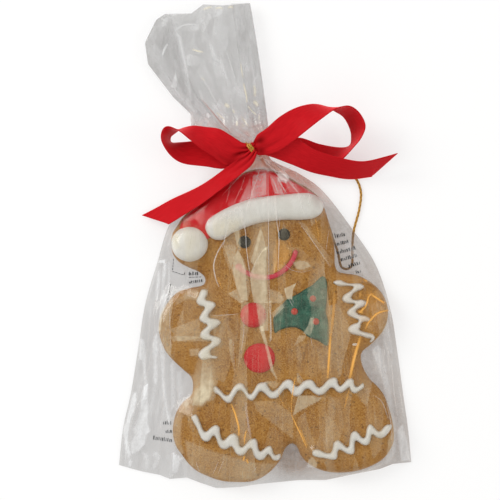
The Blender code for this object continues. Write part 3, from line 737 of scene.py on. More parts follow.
def filmFolds(x, y):
    # height that creases add: sharp pleats that fan out from the neck, long streaks in the margins beside the
    # cookie, and broad facets over it, each a triangle wave along a wandering direction
    across = acrossAt(x, y)
    outside = -onMap(insideCookie, x, y)
    steered = across + 0.012 * wobble(x, y, 38, 11)
    pleats = 1.0 * eased(18, 43, y) * (creased(6.3 * steered + 0.35 * wobble(across * 30, 0, 9, 14)) - 0.3)
    fine = 0.35 * eased(6, 36, y) * creased(14 * steered + 0.2) * eased(-0.3, 0.6, wobble(x, y, 26, 16))
    streaks = 1.1 * creased(13 * steered + 0.15 * wobble(x, y, 60, 12)) + 0.5 * creased(31 * steered)
    streaks = streaks * eased(0, 9, outside) * (1 - eased(20, 40, y))
    facets = 0
    for angle, size, lift, seed in ((78, 21, 0.75, 31), (112, 29, 0.8, 32), (33, 37, 0.6, 33),
                                    (152, 16, 0.35, 34)):
        window = eased(-0.35, 0.5, wobble(x, y, 55, seed + 40))
        facets = facets + lift * window * wandering(x, y, angle, size, 0.28, 3.0, seed)
    facets = facets * eased(-9, 2, -outside) * (1 - eased(14, 34, y))
    held = eased(0, 5, fromSide(across, y)) * eased(0.5, 9, y - bottomAt(x))
    return (pleats + fine + streaks + facets) * held


def filmTop(x, y):
    # the draped height plus its creases, never under what lies in the bag
    lowest = onMap(contentsTop, x, y) + film["overContents"]
    return np.maximum(onMap(drapeTop, x, y) + filmFolds(x, y), lowest)


# the back sheet stays above the elastic's loop where that lies under the bag
loopGap = np.full(gridX.shape, 1e9)
for spot in loopPath[::10]:
    loopGap = np.minimum(loopGap, (gridX - spot[0]) ** 2 + (gridY - spot[1]) ** 2)
underLoop = (elastic["diameter"] + 0.15) * (1 - eased(1.5, 7, np.sqrt(loopGap)))


def filmBottom(x, y):
    # the back sheet lies flat under the cookie, ripples a little beside it and curls up to the neck
    outside = -onMap(insideCookie, x, y)
    across = acrossAt(x, y)
    flat = 0.06 + 0.9 * eased(1, 9, outside) * creased(15 * across + 0.2 * wobble(x, y, 40, 15)) ** 1.5
    rising = film["neck"][2] - neckArch(x, y)
    sheet = flat + (rising - flat) * eased(26, 45, y)
    low = sideHeightAt(y) + (sheet - sideHeightAt(y)) * eased(0, 4, fromSide(across, y))
    return np.minimum(np.maximum(low, onMap(underLoop, x, y)), filmTop(x, y) - film["sheetGap"])


# places where a facet of the film is painted white as a reflection: strength at its first corner, strength
# opposite, softness, and then the corners' x and y
reflectionFacets = (
    (0.26, 0.26, 0.3, -6, 35, 0.7, 36.3, 0.8, 25.1, -7.3, 23.1),
    (0.04, 0.26, 0.8, -7, 34, -7.3, 23.3, -13, 21.1, -10.5, 26.6),
    (0.12, 0.3, 0.4, 2.4, 35.5, 6.9, 33.5, 9.4, 25.1, 4.9, 25.6),
    (0.22, 0.05, 0.4, 8.9, 33.5, 14.9, 30.6, 18.3, 26.6, 12.4, 26.1),
    (0.14, 0.24, 0.3, -1.5, 12.2, 1.3, 12.7, 1.3, -1.8, -1.5, -3.2, -5.5, -9.7, -7.3, -8.2, -4, 2.7),
    (0.32, 0.36, 0.3, -1, -2, 1.3, -0.3, 1.4, -28.6, -5.5, -28.6, -7, -21.1, -7.5, -14.2, -5, -8.2),
    (0.2, 0.18, 0.5, 1.8, -21.6, 7.4, -23.1, 9.4, -26.6, 7.9, -28.6, 1.8, -28.6),
    (0.22, 0.16, 0.4, -15.9, -6.2, -13.5, -2.2, -10.5, -7.2, -8.5, -14.7, -7.3, -22.1, -8.5, -27.6, -12,
     -26.6, -14.5, -19.6, -15.9, -12.2),
    (0.1, 0.16, 0.3, 1.7, 11.7, 5.4, 11.7, 5.9, -8.2, 4.4, -14.7, 1.8, -14.7),
    (0.22, 0.14, 0.5, -12, -27.6, -8.3, -28.1, -8.5, -41.5, -10.2, -52, -13.5, -60.9, -12.7, -49.5, -12.3,
     -41.5),
    (0.22, 0.3, 0.3, -4.5, -28.6, 1.7, -28.1, 1.7, -42.5, -2, -42.5, -3.5, -36),
    (0.34, 0.34, 0.25, -3.2, -40.5, -1, -40, 1.4, -49.5, 4.4, -61.9, 5.9, -66.4, 2.9, -62.4, 0, -49.5),
    (0.2, 0.2, 0.3, 1.8, -27.6, 3.2, -27.6, 3.4, -47, 2.2, -47.5),
    (0.12, 0.3, 0.3, -20.7, -0.3, -15.9, 0.7, -12.5, -3.2, -9.7, -12.2, -8.7, -27.3, -12.5, -28.6, -18.4,
     -23.9, -14.2, -21.6, -16.9, -11.2),
    (0.22, 0.22, 0.3, -15.5, 7.2, -12.5, 7.7, -12, -2.7, -13.5, -2.2),
    (0.2, 0.05, 0.4, -2.5, 7.7, -1.5, 6.7, -5.5, -8.2, -8.5, -6.2),
    (0.14, 0.14, 1.2, 13.4, -8.2, 16.9, -7, 21.3, -7.7, 23.3, -10.2, 20.3, -12.7, 15.9, -12.2),
    (0.2, 0.2, 0.6, 13.9, -8.7, 17.4, -7.5, 20.8, -8.2, 22.6, -10.2, 19.3, -11.9, 15.9, -11.7),
    (0.18, 0.08, 0.6, 16.9, 11.7, 19.8, 10.7, 34.2, -8.2, 32.3, -11.2),
    (0.1, 0.02, 0.8, 10.4, -0.8, 16.9, -0.8, 29.8, -12.2, 26.3, -13.7),
    (0.4, 0.4, 0.2, 15.4, -18.8, 9.5, -21.4, 10.6, -26.4, 13.4, -26.9, 13.9, -22.1),
    (0.22, 0.22, 0.4, 5.4, -31.6, 8.4, -28.8, 9.6, -30.6, 7.4, -33.1, 3.9, -36, 3.4, -33.6),
    (0.27, 0.24, 0.3, 22.5, -36, 24.3, -35.5, 24.1, -40, 22.5, -45, 18.9, -43.6, 21.2, -40),
    (0.2, 0.14, 0.3, 16.9, -44.7, 20.8, -44.7, 18.8, -47.5, 14.4, -50),
    (0.06, 0.06, 2.5, 15.4, -50, 22.3, -47.5, 28.3, -52, 30.3, -60.9, 23.3, -65.9, 16.4, -62.9),
    (0.3, 0.2, 0.3, 15.9, -63.4, 17.6, -66.4, 18.8, -69.3, 15.9, -67.9),
    (0.33, 0.33, 0.3, 16.4, -74.3, 28.6, -75.3, 26.2, -77.5, 16.9, -82.5, 13.9, -84.5),
    (0.12, 0.12, 0.5, -5.5, -77.3, 4.9, -77.3, 13.9, -84.5, 13.9, -96.2, -4, -82.3),
    (0.07, 0.07, 1, 30.8, -74.8, 37.2, -75.8, 39.2, -89.2, 34.7, -104.1, 29.3, -102.6),
    (0.08, 0.36, 2.4, -32.4, -52, -27.4, -52, -25.9, -61.9, -25.4, -69.3, -27.4, -75.8, -31.4, -79.8, -36.3,
     -79.3, -34.8, -72.8, -35.3, -64.4),
    (0.16, 0.16, 2, -35.8, -73.3, -30.4, -68.8, -27.9, -74.8, -32.4, -79.3),
    (0.18, 0.12, 0.4, -47.1, -41.7, -32.7, -36.1, -31.9, -46, -43.3, -47.7),
    (0.18, 0.14, 0.5, -46.5, -45, -27.4, -45, -27.9, -47.7, -46.3, -47.7),
    (0.22, 0.22, 1, -37.6, -51.5, -32.8, -51.3, -33.3, -54.9, -37.3, -54.9),
    (0.24, 0.24, 0.3, -45.9, -22.1, -49.2, -28.6, -52.2, -34.1, -52.7, -42, -51.7, -48, -49.2, -52.9, -46.8,
     -55.9, -46.5, -49.5, -47.1, -42, -46.8, -36, -45.8, -29.6),
    (0.16, 0.16, 1.2, -36.3, -73.3, -40.8, -77.8, -43.8, -82.3, -45.8, -88.2, -46, -94.2, -44.5, -99.7, -41.8,
     -103.6, -39.8, -104.1, -41.8, -98.7, -42, -92.7, -41.3, -86.7, -38.8, -80.8, -34.8, -75.8),
    (0.12, 0.12, 0.4, -44.8, -27.1, -37.3, -22.1, -32.4, -23.1, -33.8, -27.1, -39.3, -26.6, -44.3, -30.1),
    (0.1, 0.04, 0.4, -26.4, -34.8, -13.2, -34, -12.5, -42, -16.4, -52.9, -24.9, -49.5),
    (0.16, 0.16, 0.3, -17.9, -46, -16.2, -47, -15.7, -56.9, -15.5, -62.4, -17.7, -52.9),
    (0.24, 0.1, 0.4, 0, -67.9, 3.4, -67.1, 7.4, -68.4, 4.4, -71.3),
    (0.3, 0.3, 0.4, 21.8, -106.1, 23.8, -105.4, 26, -108.1, 25.6, -110.3, 20.8, -110.6),
    (0.5, 0.45, 0.4, -46.3, -103.1, -41.8, -105.6, -40.6, -105.6, -42.8, -108.1, -43.5, -112.6, -44.5, -113.8,
     -46.5, -112.1, -45.8, -107.6),
    (0.42, 0.3, 0.7, -50.5, -8.2, -49.2, -9.2, -49.5, -16.2, -50.5, -22.1, -48.8, -25.1, -51.5, -33.1, -52.2,
     -44, -53.5, -42, -52.7, -33.1, -51.7, -22.1, -51.2, -14.7),
    (0.5, 0.5, 0.4, -53, -7.5, -50, -7, -49.5, -7.7, -50.2, -8.7, -53, -8.7),
    (0.22, 0.22, 0.6, -53.7, -13.2, -52, -11.2, -52.7, -22.1, -53.5, -28.1, -54.5, -27.1, -54.2, -19.6),
    (0.26, 0.2, 0.5, -48.5, -8.2, -47.3, -8.2, -47.5, -19.6, -48.5, -25.1, -49.2, -25.1, -48.5, -17.2),
    (0.34, 0.3, 0.6, -62.7, -46, -60.4, -47.5, -59.7, -52.9, -59.7, -62.9, -58.4, -69.3, -58.7, -76.8, -60.7,
     -76.8, -60.2, -70.8, -60.4, -62.9, -61.7, -56.9, -62.9, -56.9),
    (0.46, 0.5, 0.7, -60.7, -70.8, -58.4, -68.8, -58.4, -89.2, -57.4, -92.7, -59.2, -94.7, -60.2, -99.2,
     -63.2, -102.6, -66.6, -104.1, -67.1, -98.7, -65.2, -94.7, -65.6, -91.7, -63.7, -86.7, -62.4, -81.8,
     -61.7, -76.8),
    (0.52, 0.4, 0.6, -65.6, -73.3, -64.4, -73.8, -64.2, -76.8, -64.9, -80.8, -66.9, -86.7, -68.1, -92.7,
     -68.6, -96.7, -67.1, -104.1, -68.1, -106.6, -69.6, -101.7, -70.4, -95.7, -71.1, -92.7, -69.1, -86.7,
     -67.4, -79.8),
    (0.3, 0.26, 0.6, -56.2, -49.5, -54.7, -44.5, -53.7, -43.5, -53.5, -52, -54, -57.9, -53.5, -66.9, -54.5,
     -69.3, -55.7, -66.9, -55.7, -57.9),
    (0.28, 0.34, 0.6, -52.5, -47, -51.2, -49.5, -49.7, -54.4, -50.2, -57.9, -50.7, -64.4, -49.7, -72.8, -48.8,
     -79.3, -47.8, -86.7, -48, -88.7, -49.2, -84.3, -50.2, -76.8, -51.2, -70.8, -51.7, -62.9, -52, -55.9),
    (0.24, 0.2, 0.6, -47.3, -59.4, -45.8, -57.9, -45.3, -66.9, -44.8, -76.8, -46.3, -82.8, -47, -76.8, -46.8,
     -66.9),
    (0.2, 0.16, 0.6, -43.8, -62.9, -41.8, -62.4, -41.3, -74.3, -43.3, -77.8),
    (0.36, 0.24, 0.5, -56.2, -104.1, -54.7, -102.6, -52.2, -105.1, -53, -108.6, -55.5, -111.6, -56.2, -110.6,
     -54.7, -106.6),
    (0.28, 0.2, 0.5, -62.2, -101.7, -58.7, -104.1, -57.7, -107.6, -58.7, -112.6, -60.2, -111.6, -59.7,
     -107.6),
    (0.34, 0.3, 0.4, -68.1, -107.6, -66.4, -107.1, -66.6, -109.6, -67.9, -110.6),
    (0.24, 0.14, 0.8, 53.1, -52, 56.1, -49.5, 59.1, -52.9, 60.6, -62.9, 62.6, -71.8, 64.1, -81.8, 65.6, -94.2,
     63.1, -91.7, 61.1, -79.3, 58.6, -66.9, 55.1, -57.9),
    (0.36, 0.4, 0.7, 66.1, -91.7, 68.5, -89.2, 71, -96.7, 72.8, -107.6, 68, -107.6, 67, -101.7),
    (0.26, 0.16, 0.6, 61.1, -96.7, 64.1, -91.7, 65.1, -101.7, 63.1, -107.6, 60.1, -109.1),
    (0.2, 0.12, 0.5, 58.6, -42, 61.1, -37, 62.6, -46, 64.1, -52.9, 61.6, -54.9, 59.1, -49.5),
    (0.14, 0.1, 0.6, 39.7, 0.2, 42.2, 2.7, 50.2, -11.2, 55.1, -20.1, 52.1, -19.1, 46.2, -11.2),
    (0.16, 0.16, 1.4, -39.8, -96.7, -24.9, -102.6, -7.5, -107.6, 5.4, -108.6, -1.5, -115.6, -15, -117.6,
     -29.9, -114.6, -38.3, -108.1),
    (0.1, 0.06, 1.5, 32.3, -74.3, 35.2, -77.8, 34.2, -96.7, 31.3, -102.6, 28.3, -96.7, 30.8, -86.7),
    (0.3, 0.3, 0.5, 6.4, 37, 9.4, 37.5, 11.9, 33.5, 10.4, 31, 6.4, 32),
    (0.22, 0.22, 0.5, 7.4, 39.5, 12.9, 39.2, 11.9, 37.5, 8.4, 37),
    (0.16, 0.16, 0.8, -4.5, 38.5, 1.9, 38.5, 2.4, 36.5, -4.5, 36.3),
    (0.8, 0.7, 0.15, -0.8, 43.2, 3.3, 42.5, 2.4, 39.7, 0.5, 40.5),
    (0.6, 0.6, 0.15, -3.8, 44.3, -1.5, 44.1, -2, 43.2, -3.3, 43.4),
    (0.28, 0.1, 0.3, 8.4, 40, 13.1, 39.2, 12.4, 37.3, 8.9, 36.8),
    (0.34, 0.2, 0.3, 5.9, 35.8, 9.9, 35.5, 12.4, 32, 7.9, 32.5),
    (0.12, 0.12, 0.4, -1.5, 42.5, 4.9, 41, 8.4, 36.5, 2.4, 37, -3.5, 38.5),
    (0.3, 0.14, 0.4, -46.8, 4.7, -43.3, 6.2, -42.3, -1.3, -45.3, -2.2),
    (0.14, 0.1, 0.5, -25.4, 14.6, -19.4, 17.6, -20.4, 4.7, -25.4, 4.7),
    (0.16, 0.1, 0.4, -1.5, 22.6, 1.4, 23.6, 1.4, 12.2, -1.5, 12.2),
    (0.14, 0.16, 0.6, -26.4, 11.7, -14.5, 19.1, -11, 19.6, -11, 10.7, -18.4, 5.7, -25.4, 3.7),
    (0.16, 0.1, 0.3, 1.7, 24.1, 5.4, 24.6, 5.9, 12.7, 1.7, 12.2),
    (0.14, 0.05, 0.5, 15.4, 25.6, 23.3, 25.1, 20.3, 13.7, 17.4, 15.6),
)
# facets painted with an amber glint, listed the same way
amberGlintFacets = (
    (0.03, 0.05, 1.6, 36.2, -14.7, 47.2, -15.7, 57.1, -23.1, 61.1, -32.1, 58.1, -44.5, 50.2, -52, 39.7, -52,
     37.2, -27.1),
    (0.16, 0.12, 0.9, 50.2, -23.1, 55.1, -22.6, 59.6, -29.6, 59.1, -33.1, 54.1, -34.1, 51.1, -30.1),
    (0.14, 0.1, 0.8, 46.2, -36, 53.1, -33.1, 59.1, -34.1, 57.1, -38, 51.1, -41),
    (0.1, 0.3, 1, 5.4, 2.7, 8.9, 2.2, 12.1, -1.3, 11.9, -6.2, 8.4, -11.2, 4.4, -13.7, 3.9, -4.7),
    (0.16, 0.1, 0.6, 31.3, -27.1, 32.8, -27.1, 32.8, -62.9, 30.8, -63.9),
    (0.22, 0.12, 0.6, 43.2, -52, 45.2, -45, 45.7, -52, 42.7, -62.9),
)
# an outline on the hat where the film is kept clear of painted reflections
clearHat = (
    (-1.5, 42.5), (-12.5, 39.5), (-24.9, 32.6), (-34.4, 23.6), (-39.3, 16.6), (-36.3, 8.7), (-29.4, 11.7),
    (-24.4, 19.6), (-14.5, 22.6), (-9, 24.6), (-6.5, 34.5),
)
# folds too sharp for the sheet's own grid, painted with a highlight along the crest: width, strength, and
# then the route's x and y
whiteFolds = (
    (0.7, 0.6, 4.2, 42.2, 6.4, 40, 8.9, 38.2, 12.9, 38.7),
    (0.5, 0.55, 8.6, 38.5, 10.4, 35.8, 12.4, 33.3),
    (0.5, 0.45, 13.9, 37, 15.6, 36.5, 15.9, 33.5),
    (0.45, 0.4, 2.9, 34.5, 4.9, 30.5, 6.4, 25.6),
    (0.45, 0.4, 5.4, 34.5, 8.4, 29.6, 10.9, 25.6),
    (0.4, 0.4, 11.4, 32.5, 13.9, 29.1, 16.4, 26.6),
    (0.4, 0.4, 16.4, 27.1, 17.8, 21.6, 19.3, 16.6),
    (0.5, 0.55, -19.9, 2.7, -23.5, -3.2, -25.5, -9.7, -24.5, -16.5, -22.9, -20.6),
    (0.35, 0.45, -17.9, 12, -20.4, 1.7, -21.4, -1.3),
    (0.3, 0.55, -12.4, 16, -9.8, 6.9, -9.3, -1.3, -7.3, -16),
    (0.25, 0.35, -14.5, 21.1, -11, 15.6, -9.7, 6.7),
    (0.4, 0.45, 4.6, 25.1, 6.1, 9.4, 6.9, 4.4, 6.4, -12.4),
    (0.25, 0.4, 7.7, 15.1, 6.7, 7.2, 7.1, -0.3),
    (0.3, 0.5, 1.3, 42.5, 1.5, 22.6, 1.8, -8.2, 2, -28.6),
    (0.4, 0.4, 2.3, -28.6, 2.9, -41, 2.8, -47.5),
    (0.25, 0.22, -16.9, 32.2, -17.9, 26.6, -19.4, 21.1),
    (0.25, 0.26, -9.8, 34.8, -12, 28.6, -15.4, 21.1),
    (0.2, 0.25, -34.8, 19.6, -33.3, 17.6),
    (0.2, 0.28, -33.8, 18.4, -31.8, 15.4),
    (0.25, 0.35, -26.5, -34.8, -19.4, -34.5, -13.2, -34),
    (0.2, 0.35, -47.2, -22.8, -47.4, -37, -46.8, -51.9),
    (0.2, 0.3, -15.7, -47, -15.4, -56.9, -15.3, -62.4),
    (0.225, 0.4, -10.5, -36, -10.7, -44.5, -12, -52.9),
    (0.225, 0.5, 11.9, -26.6, 12.9, -28.6, 14.1, -30.3),
    (0.2, 0.4, 13.6, -26.6, 14.2, -29.1),
    (0.2, 0.4, 22.7, -45, 23.3, -50),
    (1, 0.24, -9.7, -77.8, -9, -84.2, -8.1, -90.2, -7, -95.7),
    (0.35, 0.5, 58.6, -49.5, 59.6, -52.9, 59.3, -55.9),
    (0.3, 0.45, 63.1, -52.9, 63.6, -64.4, 64.5, -74.3, 66, -84.7),
    (0.25, 0.4, 61.1, -50.9, 61.8, -62.9),
    (0.3, 0.45, 66.5, -69.3, 68, -76.8, 69, -85.7),
    (0.25, 0.4, 60.1, -76.8, 62.6, -89.2, 63.1, -99.1),
    (0.3, 0.35, 53.6, -74.3, 58.1, -77.8, 61.6, -86.7),
    (0.25, 0.35, 56.6, -52.9, 57.6, -62.9, 60.1, -72.8),
    (0.25, 0.35, -34.3, -107.6, -32.8, -112.6),
    (0.25, 0.35, -25.9, -113.5, -22.9, -107.1),
    (0.25, 0.3, -23.4, -113.5, -20.4, -106.6),
    (0.25, 0.3, -6.5, -113.5, -4, -109.6),
    (0.25, 0.3, 31.8, 7.9, 31, 2.7, 30.5, -2.2),
    (0.25, 0.35, 16.8, 11.4, 23.3, 2.7, 32.7, -10.7),
    (0.25, 0.3, 2.4, 35.8, 3.4, 31, 4.9, 25.6),
    (0.25, 0.3, 11.4, 34, 14.4, 29.1, 17.3, 24.6),
    (0.225, 0.3, 8.9, 25.1, 11.9, 29.1, 15.9, 30.5),
    (0.25, 0.45, -1.5, 43.5, -3.5, 35, -7.5, 23.1, -9.5, 15.6),
    (0.25, 0.4, 0.5, 42.5, 6.4, 34.5, 10.4, 24.6),
    (0.225, 0.35, 2.4, 42.5, 13.4, 33.5, 23.3, 25.1),
    (0.225, 0.35, 4.4, 42, 15.4, 35.5, 27.8, 22.6),
    (0.2, 0.3, -5, 42.5, -12.5, 34.5, -21.4, 24.6),
    (0.25, 0.3, 8.9, -8.2, 12.4, -11.7, 17.8, -13.2, 23.3, -12.2),
    (0.225, 0.3, -1, -0.8, -4.5, -8.2, -7.3, -17.2),
    (0.2, 0.3, 19.8, -69.3, 18.3, -66.3, 16.4, -63.4),
    (0.25, 0.3, -54.7, -27.1, -56.2, -51.9, -62.2, -76.8, -68.1, -101.6),
    (0.25, 0.3, -50.7, -42, -50.2, -66.8, -52.2, -91.7, -53.2, -111.6),
    (0.25, 0.25, -46.3, -64.4, -43.3, -76.8, -48.2, -91.7),
    (0.25, 0.3, -57.2, -32.1, -59.2, -56.9, -66.1, -86.7, -70.1, -106.6),
)
# folds painted with an amber glint along the crest, listed the same way
amberFolds = (
    (1.3, 0.38, 34.5, -23.6, 34.2, -30.1, 33.6, -37, 32.7, -44.5),
    (1, 0.85, 32.7, -43.5, 32.2, -49.5, 31.7, -56.9, 31.1, -65.8),
    (1.3, 0.95, 47.4, -45, 46.2, -49.5, 45.2, -52.9, 43.9, -57.9, 42.8, -62.9, 42, -66.3),
    (0.5, 0.4, 41.9, -70.8, 40.7, -75.8, 39.2, -81.8),
    (1.1, 0.25, 47.7, -22.1, 46.9, -26.1),
    (1, 0.85, 52.4, -24.1, 54.6, -25.5, 57.1, -27.2, 59.6, -28.7),
    (0.8, 0.7, 57.1, -27.6, 58.6, -28.1, 59.6, -28.6),
    (0.75, 0.85, 52.9, -23.9, 51.4, -25.6, 50.6, -28.6, 49.4, -31.1, 47.7, -32.6),
    (1, 0.75, 49.1, -30.6, 48.1, -32.3, 46.2, -33.1),
    (0.8, 0.6, 46.7, -33.1, 48.9, -33.3),
    (0.85, 0.9, 49.9, -41.5, 51.1, -38.8, 52.9, -36.5, 55.1, -34.2, 57.6, -33, 61.8, -32.2),
    (0.7, 0.5, 53.6, -36, 56.1, -34, 58.6, -33.2),
    (0.65, 0.6, 48.6, -16.7, 49.9, -17.4, 51.1, -18),
    (0.6, 0.35, 54.1, -28.6, 56.1, -27.1),
    (0.9, 0.85, -16.9, -78.8, -15.2, -82.7, -14, -86.7, -13.1, -90.7, -13, -94.7),
    (0.7, 0.65, -9.3, -91.7, -10, -94.7, -10.3, -98.6),
    (0.8, 0.75, -10.2, -104.4, -10.9, -107.1),
    (1, 0.6, -9.3, -105.8, -8.4, -108.3),
    (0.6, 0.6, 15.1, -65.1, 13.9, -71.8, 13.1, -77.8),
    (0.45, 0.45, 13.1, -77.8, 13.1, -83.7),
    (0.6, 0.75, 13.1, -84, 15.4, -89.2, 17.6, -93.7, 20.7, -100.6),
    (0.4, 0.5, 16.8, -89.7, 19.3, -95.7, 21.1, -99.6),
    (0.3, 0.4, 11.4, 2.7, 12.9, -1.3, 12.6, -6.2),
    (0.5, 0.6, 24.9, 13.2, 25.6, 10.9),
    (0.35, 0.45, 25.6, 10.9, 26.9, 3.3),
    (0.35, 0.45, -23.4, -15.7, -21.4, -22.1),
    (0.3, 0.4, 6.7, -69.8, 7.4, -75.8, 11.4, -82.2),
)


def facetStrengths(x, y, facets):
    # each facet's strength, changing evenly from its first corner to the one opposite, cut off at its sides
    total = np.zeros(np.shape(x))
    for start, end, soft, *corners in facets:
        corners = np.reshape(corners, (-1, 2))
        low, high = corners.min(0) - 1, corners.max(0) + 1
        near = (x > low[0]) & (x < high[0]) & (y > low[1]) & (y < high[1])
        axis = corners[len(corners) // 2] - corners[0]
        share = ((x[near] - corners[0][0]) * axis[0] + (y[near] - corners[0][1]) * axis[1]) / (axis @ axis)
        inside = eased(-soft / 2, soft / 2, reach(x[near], y[near], corners))
        total[near] += (start + (end - start) * np.clip(share, 0, 1)) * inside
    return total


def clearSheet(name, tints, lets):
    # clear film: what lies behind shows through, under a share of painted colour read from an attribute:
    # painted reflections, glints and haze on the front sheets, painted shadow on the back one, in the colour
    # that warmth and a painted red reflection pick, under a mirror that grows with the fifth power of how
    # glancing the view is
    made, tree, shader = newMaterial(name)
    tree.nodes.remove(shader)
    wrinkles = noise(tree, node(tree, "UVMap"), 60.0, 5.0, 0.6)
    hazeNoise = noise(tree, onObject(tree), 420.0, 3.0, 0.6)
    bump = bumped(tree, wrinkles, 0.25, 0.0006)
    share = combined(tree, "MULTIPLY", attribute(tree, "hazeAndPaintedLight"), ranged(tree, hazeNoise, 0.3, 0.7, 0.8, 1.15))
    warmth = attribute(tree, "warmth")
    tint = mixed(tree, ranged(tree, warmth, 0.0, 0.5), tints[0], tints[1])
    tint = mixed(tree, ranged(tree, warmth, 0.5, 1.0), tint, tints[2])
    tint = mixed(tree, attribute(tree, "redReflection"), tint, film["rosy"])
    opening = node(tree, "BsdfTransparent", {"Color": (*lets, 1.0)})
    whitened = node(tree, "BsdfPrincipled", {"Base Color": tint, "Roughness": 0.35, "Normal": bump})
    body = node(tree, "MixShader", {0: share, 1: opening, 2: whitened})
    mirror = node(tree, "BsdfAnisotropic", {"Color": film["mirrorTint"], "Roughness": 0.08, "Normal": bump})
    facing = node(tree, "LayerWeight", {"Blend": 0.5, "Normal": bump}, "Facing")
    mirrored = ranged(tree, combined(tree, "POWER", facing, 5.0), 0.0, 1.0, film["mirror"], 0.9)
    surface = node(tree, "MixShader", {0: mirrored, 1: body, 2: mirror})
    tree.links.new(surface, tree.nodes["Material Output"].inputs["Surface"])
    return made


# painted light: the front and fan sheets carry painted reflections, the back sheet painted shadow
clearFilm = clearSheet("clearFilm", (film["white"], film["cream"], film["amber"]), film["lets"])
backedFilm = clearSheet("backedFilm", (film["white"], film["shadeBrown"], film["shadeBrown"]), film["backLetsAndShade"])
fanFilm = clearSheet("fanFilm", (film["white"], film["cream"], film["cream"]), film["fanLetsAndShade"])


def cellTones(x, y, wide, tall, seed):
    # a tone from 0 to 1 for each point: its nearest seed's own tone, with a slope across that seed's cell
    draw = np.random.default_rng(seed)
    count = int(180 * 150 / (wide * tall))
    seeds = np.column_stack([draw.uniform(-80, 80, count), draw.uniform(-125, 55, count)])
    tones, slopes = draw.uniform(0, 1, count) ** 1.5, draw.normal(0, 0.35, (count, 2))
    px = x + 0.12 * wide * wobble(x, y, tall, seed + 1)
    py = y + 0.12 * tall * wobble(x, y, tall, seed + 2)
    nearest = np.full(np.shape(x), 1e9)
    tone = np.zeros(np.shape(x))
    for (sx, sy), level, (slopeX, slopeY) in zip(seeds, tones, slopes):
        dx, dy = (px - sx) / wide, (py - sy) / tall
        gap = dx * dx + dy * dy
        closer = gap < nearest
        nearest = np.where(closer, gap, nearest)
        tone = np.where(closer, level + slopeX * dx + slopeY * dy, tone)
    return np.clip(tone, 0, 1)


def streaked(x, y, count, seed, sharp=0.8):
    # thin lines that run lengthwise down the bag and break off: crests of a triangle wave across it
    wave = creased(count * acrossAt(x, y) + 0.3 * wobble(x, y, 70, seed))
    return eased(sharp, 1.0, wave) * eased(-0.1, 0.6, wobble(2.2 * x, y, 30, seed + 1))


def filmHazeAndReflections(x, y):
    # painted reflections and haze on the front film, how warm and how red they are: facets over the cookie,
    # streaks of painted highlight in the margins beside it, stronger on the left where the key light falls,
    # amber painted glints, and a painted reflection of the ribbon's red near the neck
    inside = eased(-1.5, 1.5, onMap(insideCookie, x, y))
    bare = 1 - eased(-3, 3, reach(x, y, np.array(clearHat)))
    tones = cellTones(x, y, 7, 26, 91)
    over = inside * bare * (0.17 * tones**2 + 0.04 * cellTones(x, y, 3, 15, 96)
                            + 0.08 * streaked(x, y, 46, 71) + 0.05 * streaked(x, y, 83, 74, 0.7))
    leftward = 1 - eased(-45, 30, x)
    margin = (1 - inside) * (0.01 + (0.06 + 0.07 * leftward) * streaked(x, y, 19, 77, 0.5)
                             + (0.05 + 0.12 * leftward) * streaked(x, y, 41, 79, 0.6)
                             + (0.06 + 0.09 * leftward) * cellTones(x, y, 3.5, 22, 93))
    facetVariation = 1 + 0.12 * wobble(2.2 * x, y, 12, 81) + 0.06 * wobble(3 * x, 2 * y, 7, 82)
    redReflection = eased(14, 42, y) * (1 - inside)
    total = over + margin + facetStrengths(x, y, reflectionFacets) * facetVariation + 0.50 * redReflection
    glow = facetStrengths(x, y, amberGlintFacets)
    amber, cream = 0.5 + 0.5 * glow / (glow + total + 1e-6), 0.5 * inside * (1 - 0.8 * eased(9, 17, y))
    return {"hazeAndPaintedLight": np.clip(total + glow, 0, 0.9), "warmth": np.where(glow > 0.01, amber, cream),
            "redReflection": 0.60 * redReflection**2 / (total + 1e-6)}


def backShade(x, y):
    # painted shadow on the back film: it darkens and browns towards the cookie, most between the feet and
    # along the right side, away from the key light, and towards the neck under the bow
    outside = np.maximum(-onMap(insideCookie, x, y), 0)
    rightward = eased(-10, 50, x)
    nearCookie = np.exp(-outside / (3 + 9 * rightward))
    crotch = eased(9, 0, np.hypot((x - 14) / 1.2, y + 107)) + eased(16, 4, np.hypot((x - 14) / 1.1, y + 105))
    shade = 0.015 + (0.07 + 0.22 * rightward) * nearCookie + 0.10 * rightward + 0.40 * crotch
    return np.clip(shade + 0.45 * eased(14, 36, y), 0, 0.7)


def sheetGrid(across, rise):
    # places over the bag: rows climb from the bottom seam to the neck, columns run from edge to edge
    y = film["lowestRow"] + (film["neck"][1] - film["lowestRow"]) * rise[:, None] + 0 * across[None, :]
    x = leftAt(y) + (rightAt(y) - leftAt(y)) * across[None, :]
    y = y + (bottomAt(x) - film["lowestRow"]) * (1 - rise[:, None]) ** 6
    return x, y


def uneven(count, low, high, dense):
    # shares from 0 to 1, packed dense times closer between low and high
    fine = np.linspace(0, 1, 4000)
    beyond = eased(high - 0.05, high + 0.05, fine)
    weight = 1 + (dense - 1) * eased(low - 0.05, low + 0.05, fine) * (1 - beyond)
    run = np.r_[0, np.cumsum(weight)[:-1]]
    return np.interp(np.linspace(0, run[-1], count), run, fine)


def filmSheet(name, x, y, z, across, material, layers, facing):
    # a grid of film, whose pattern runs on the share across and the place lengthwise
    uv = np.dstack([across * 1.1 + 0 * x, y * mm * 0.9])
    return newPiece(name, np.dstack([x, y, z]), [gridFaces(*x.shape)], material, uv, layers, facing)


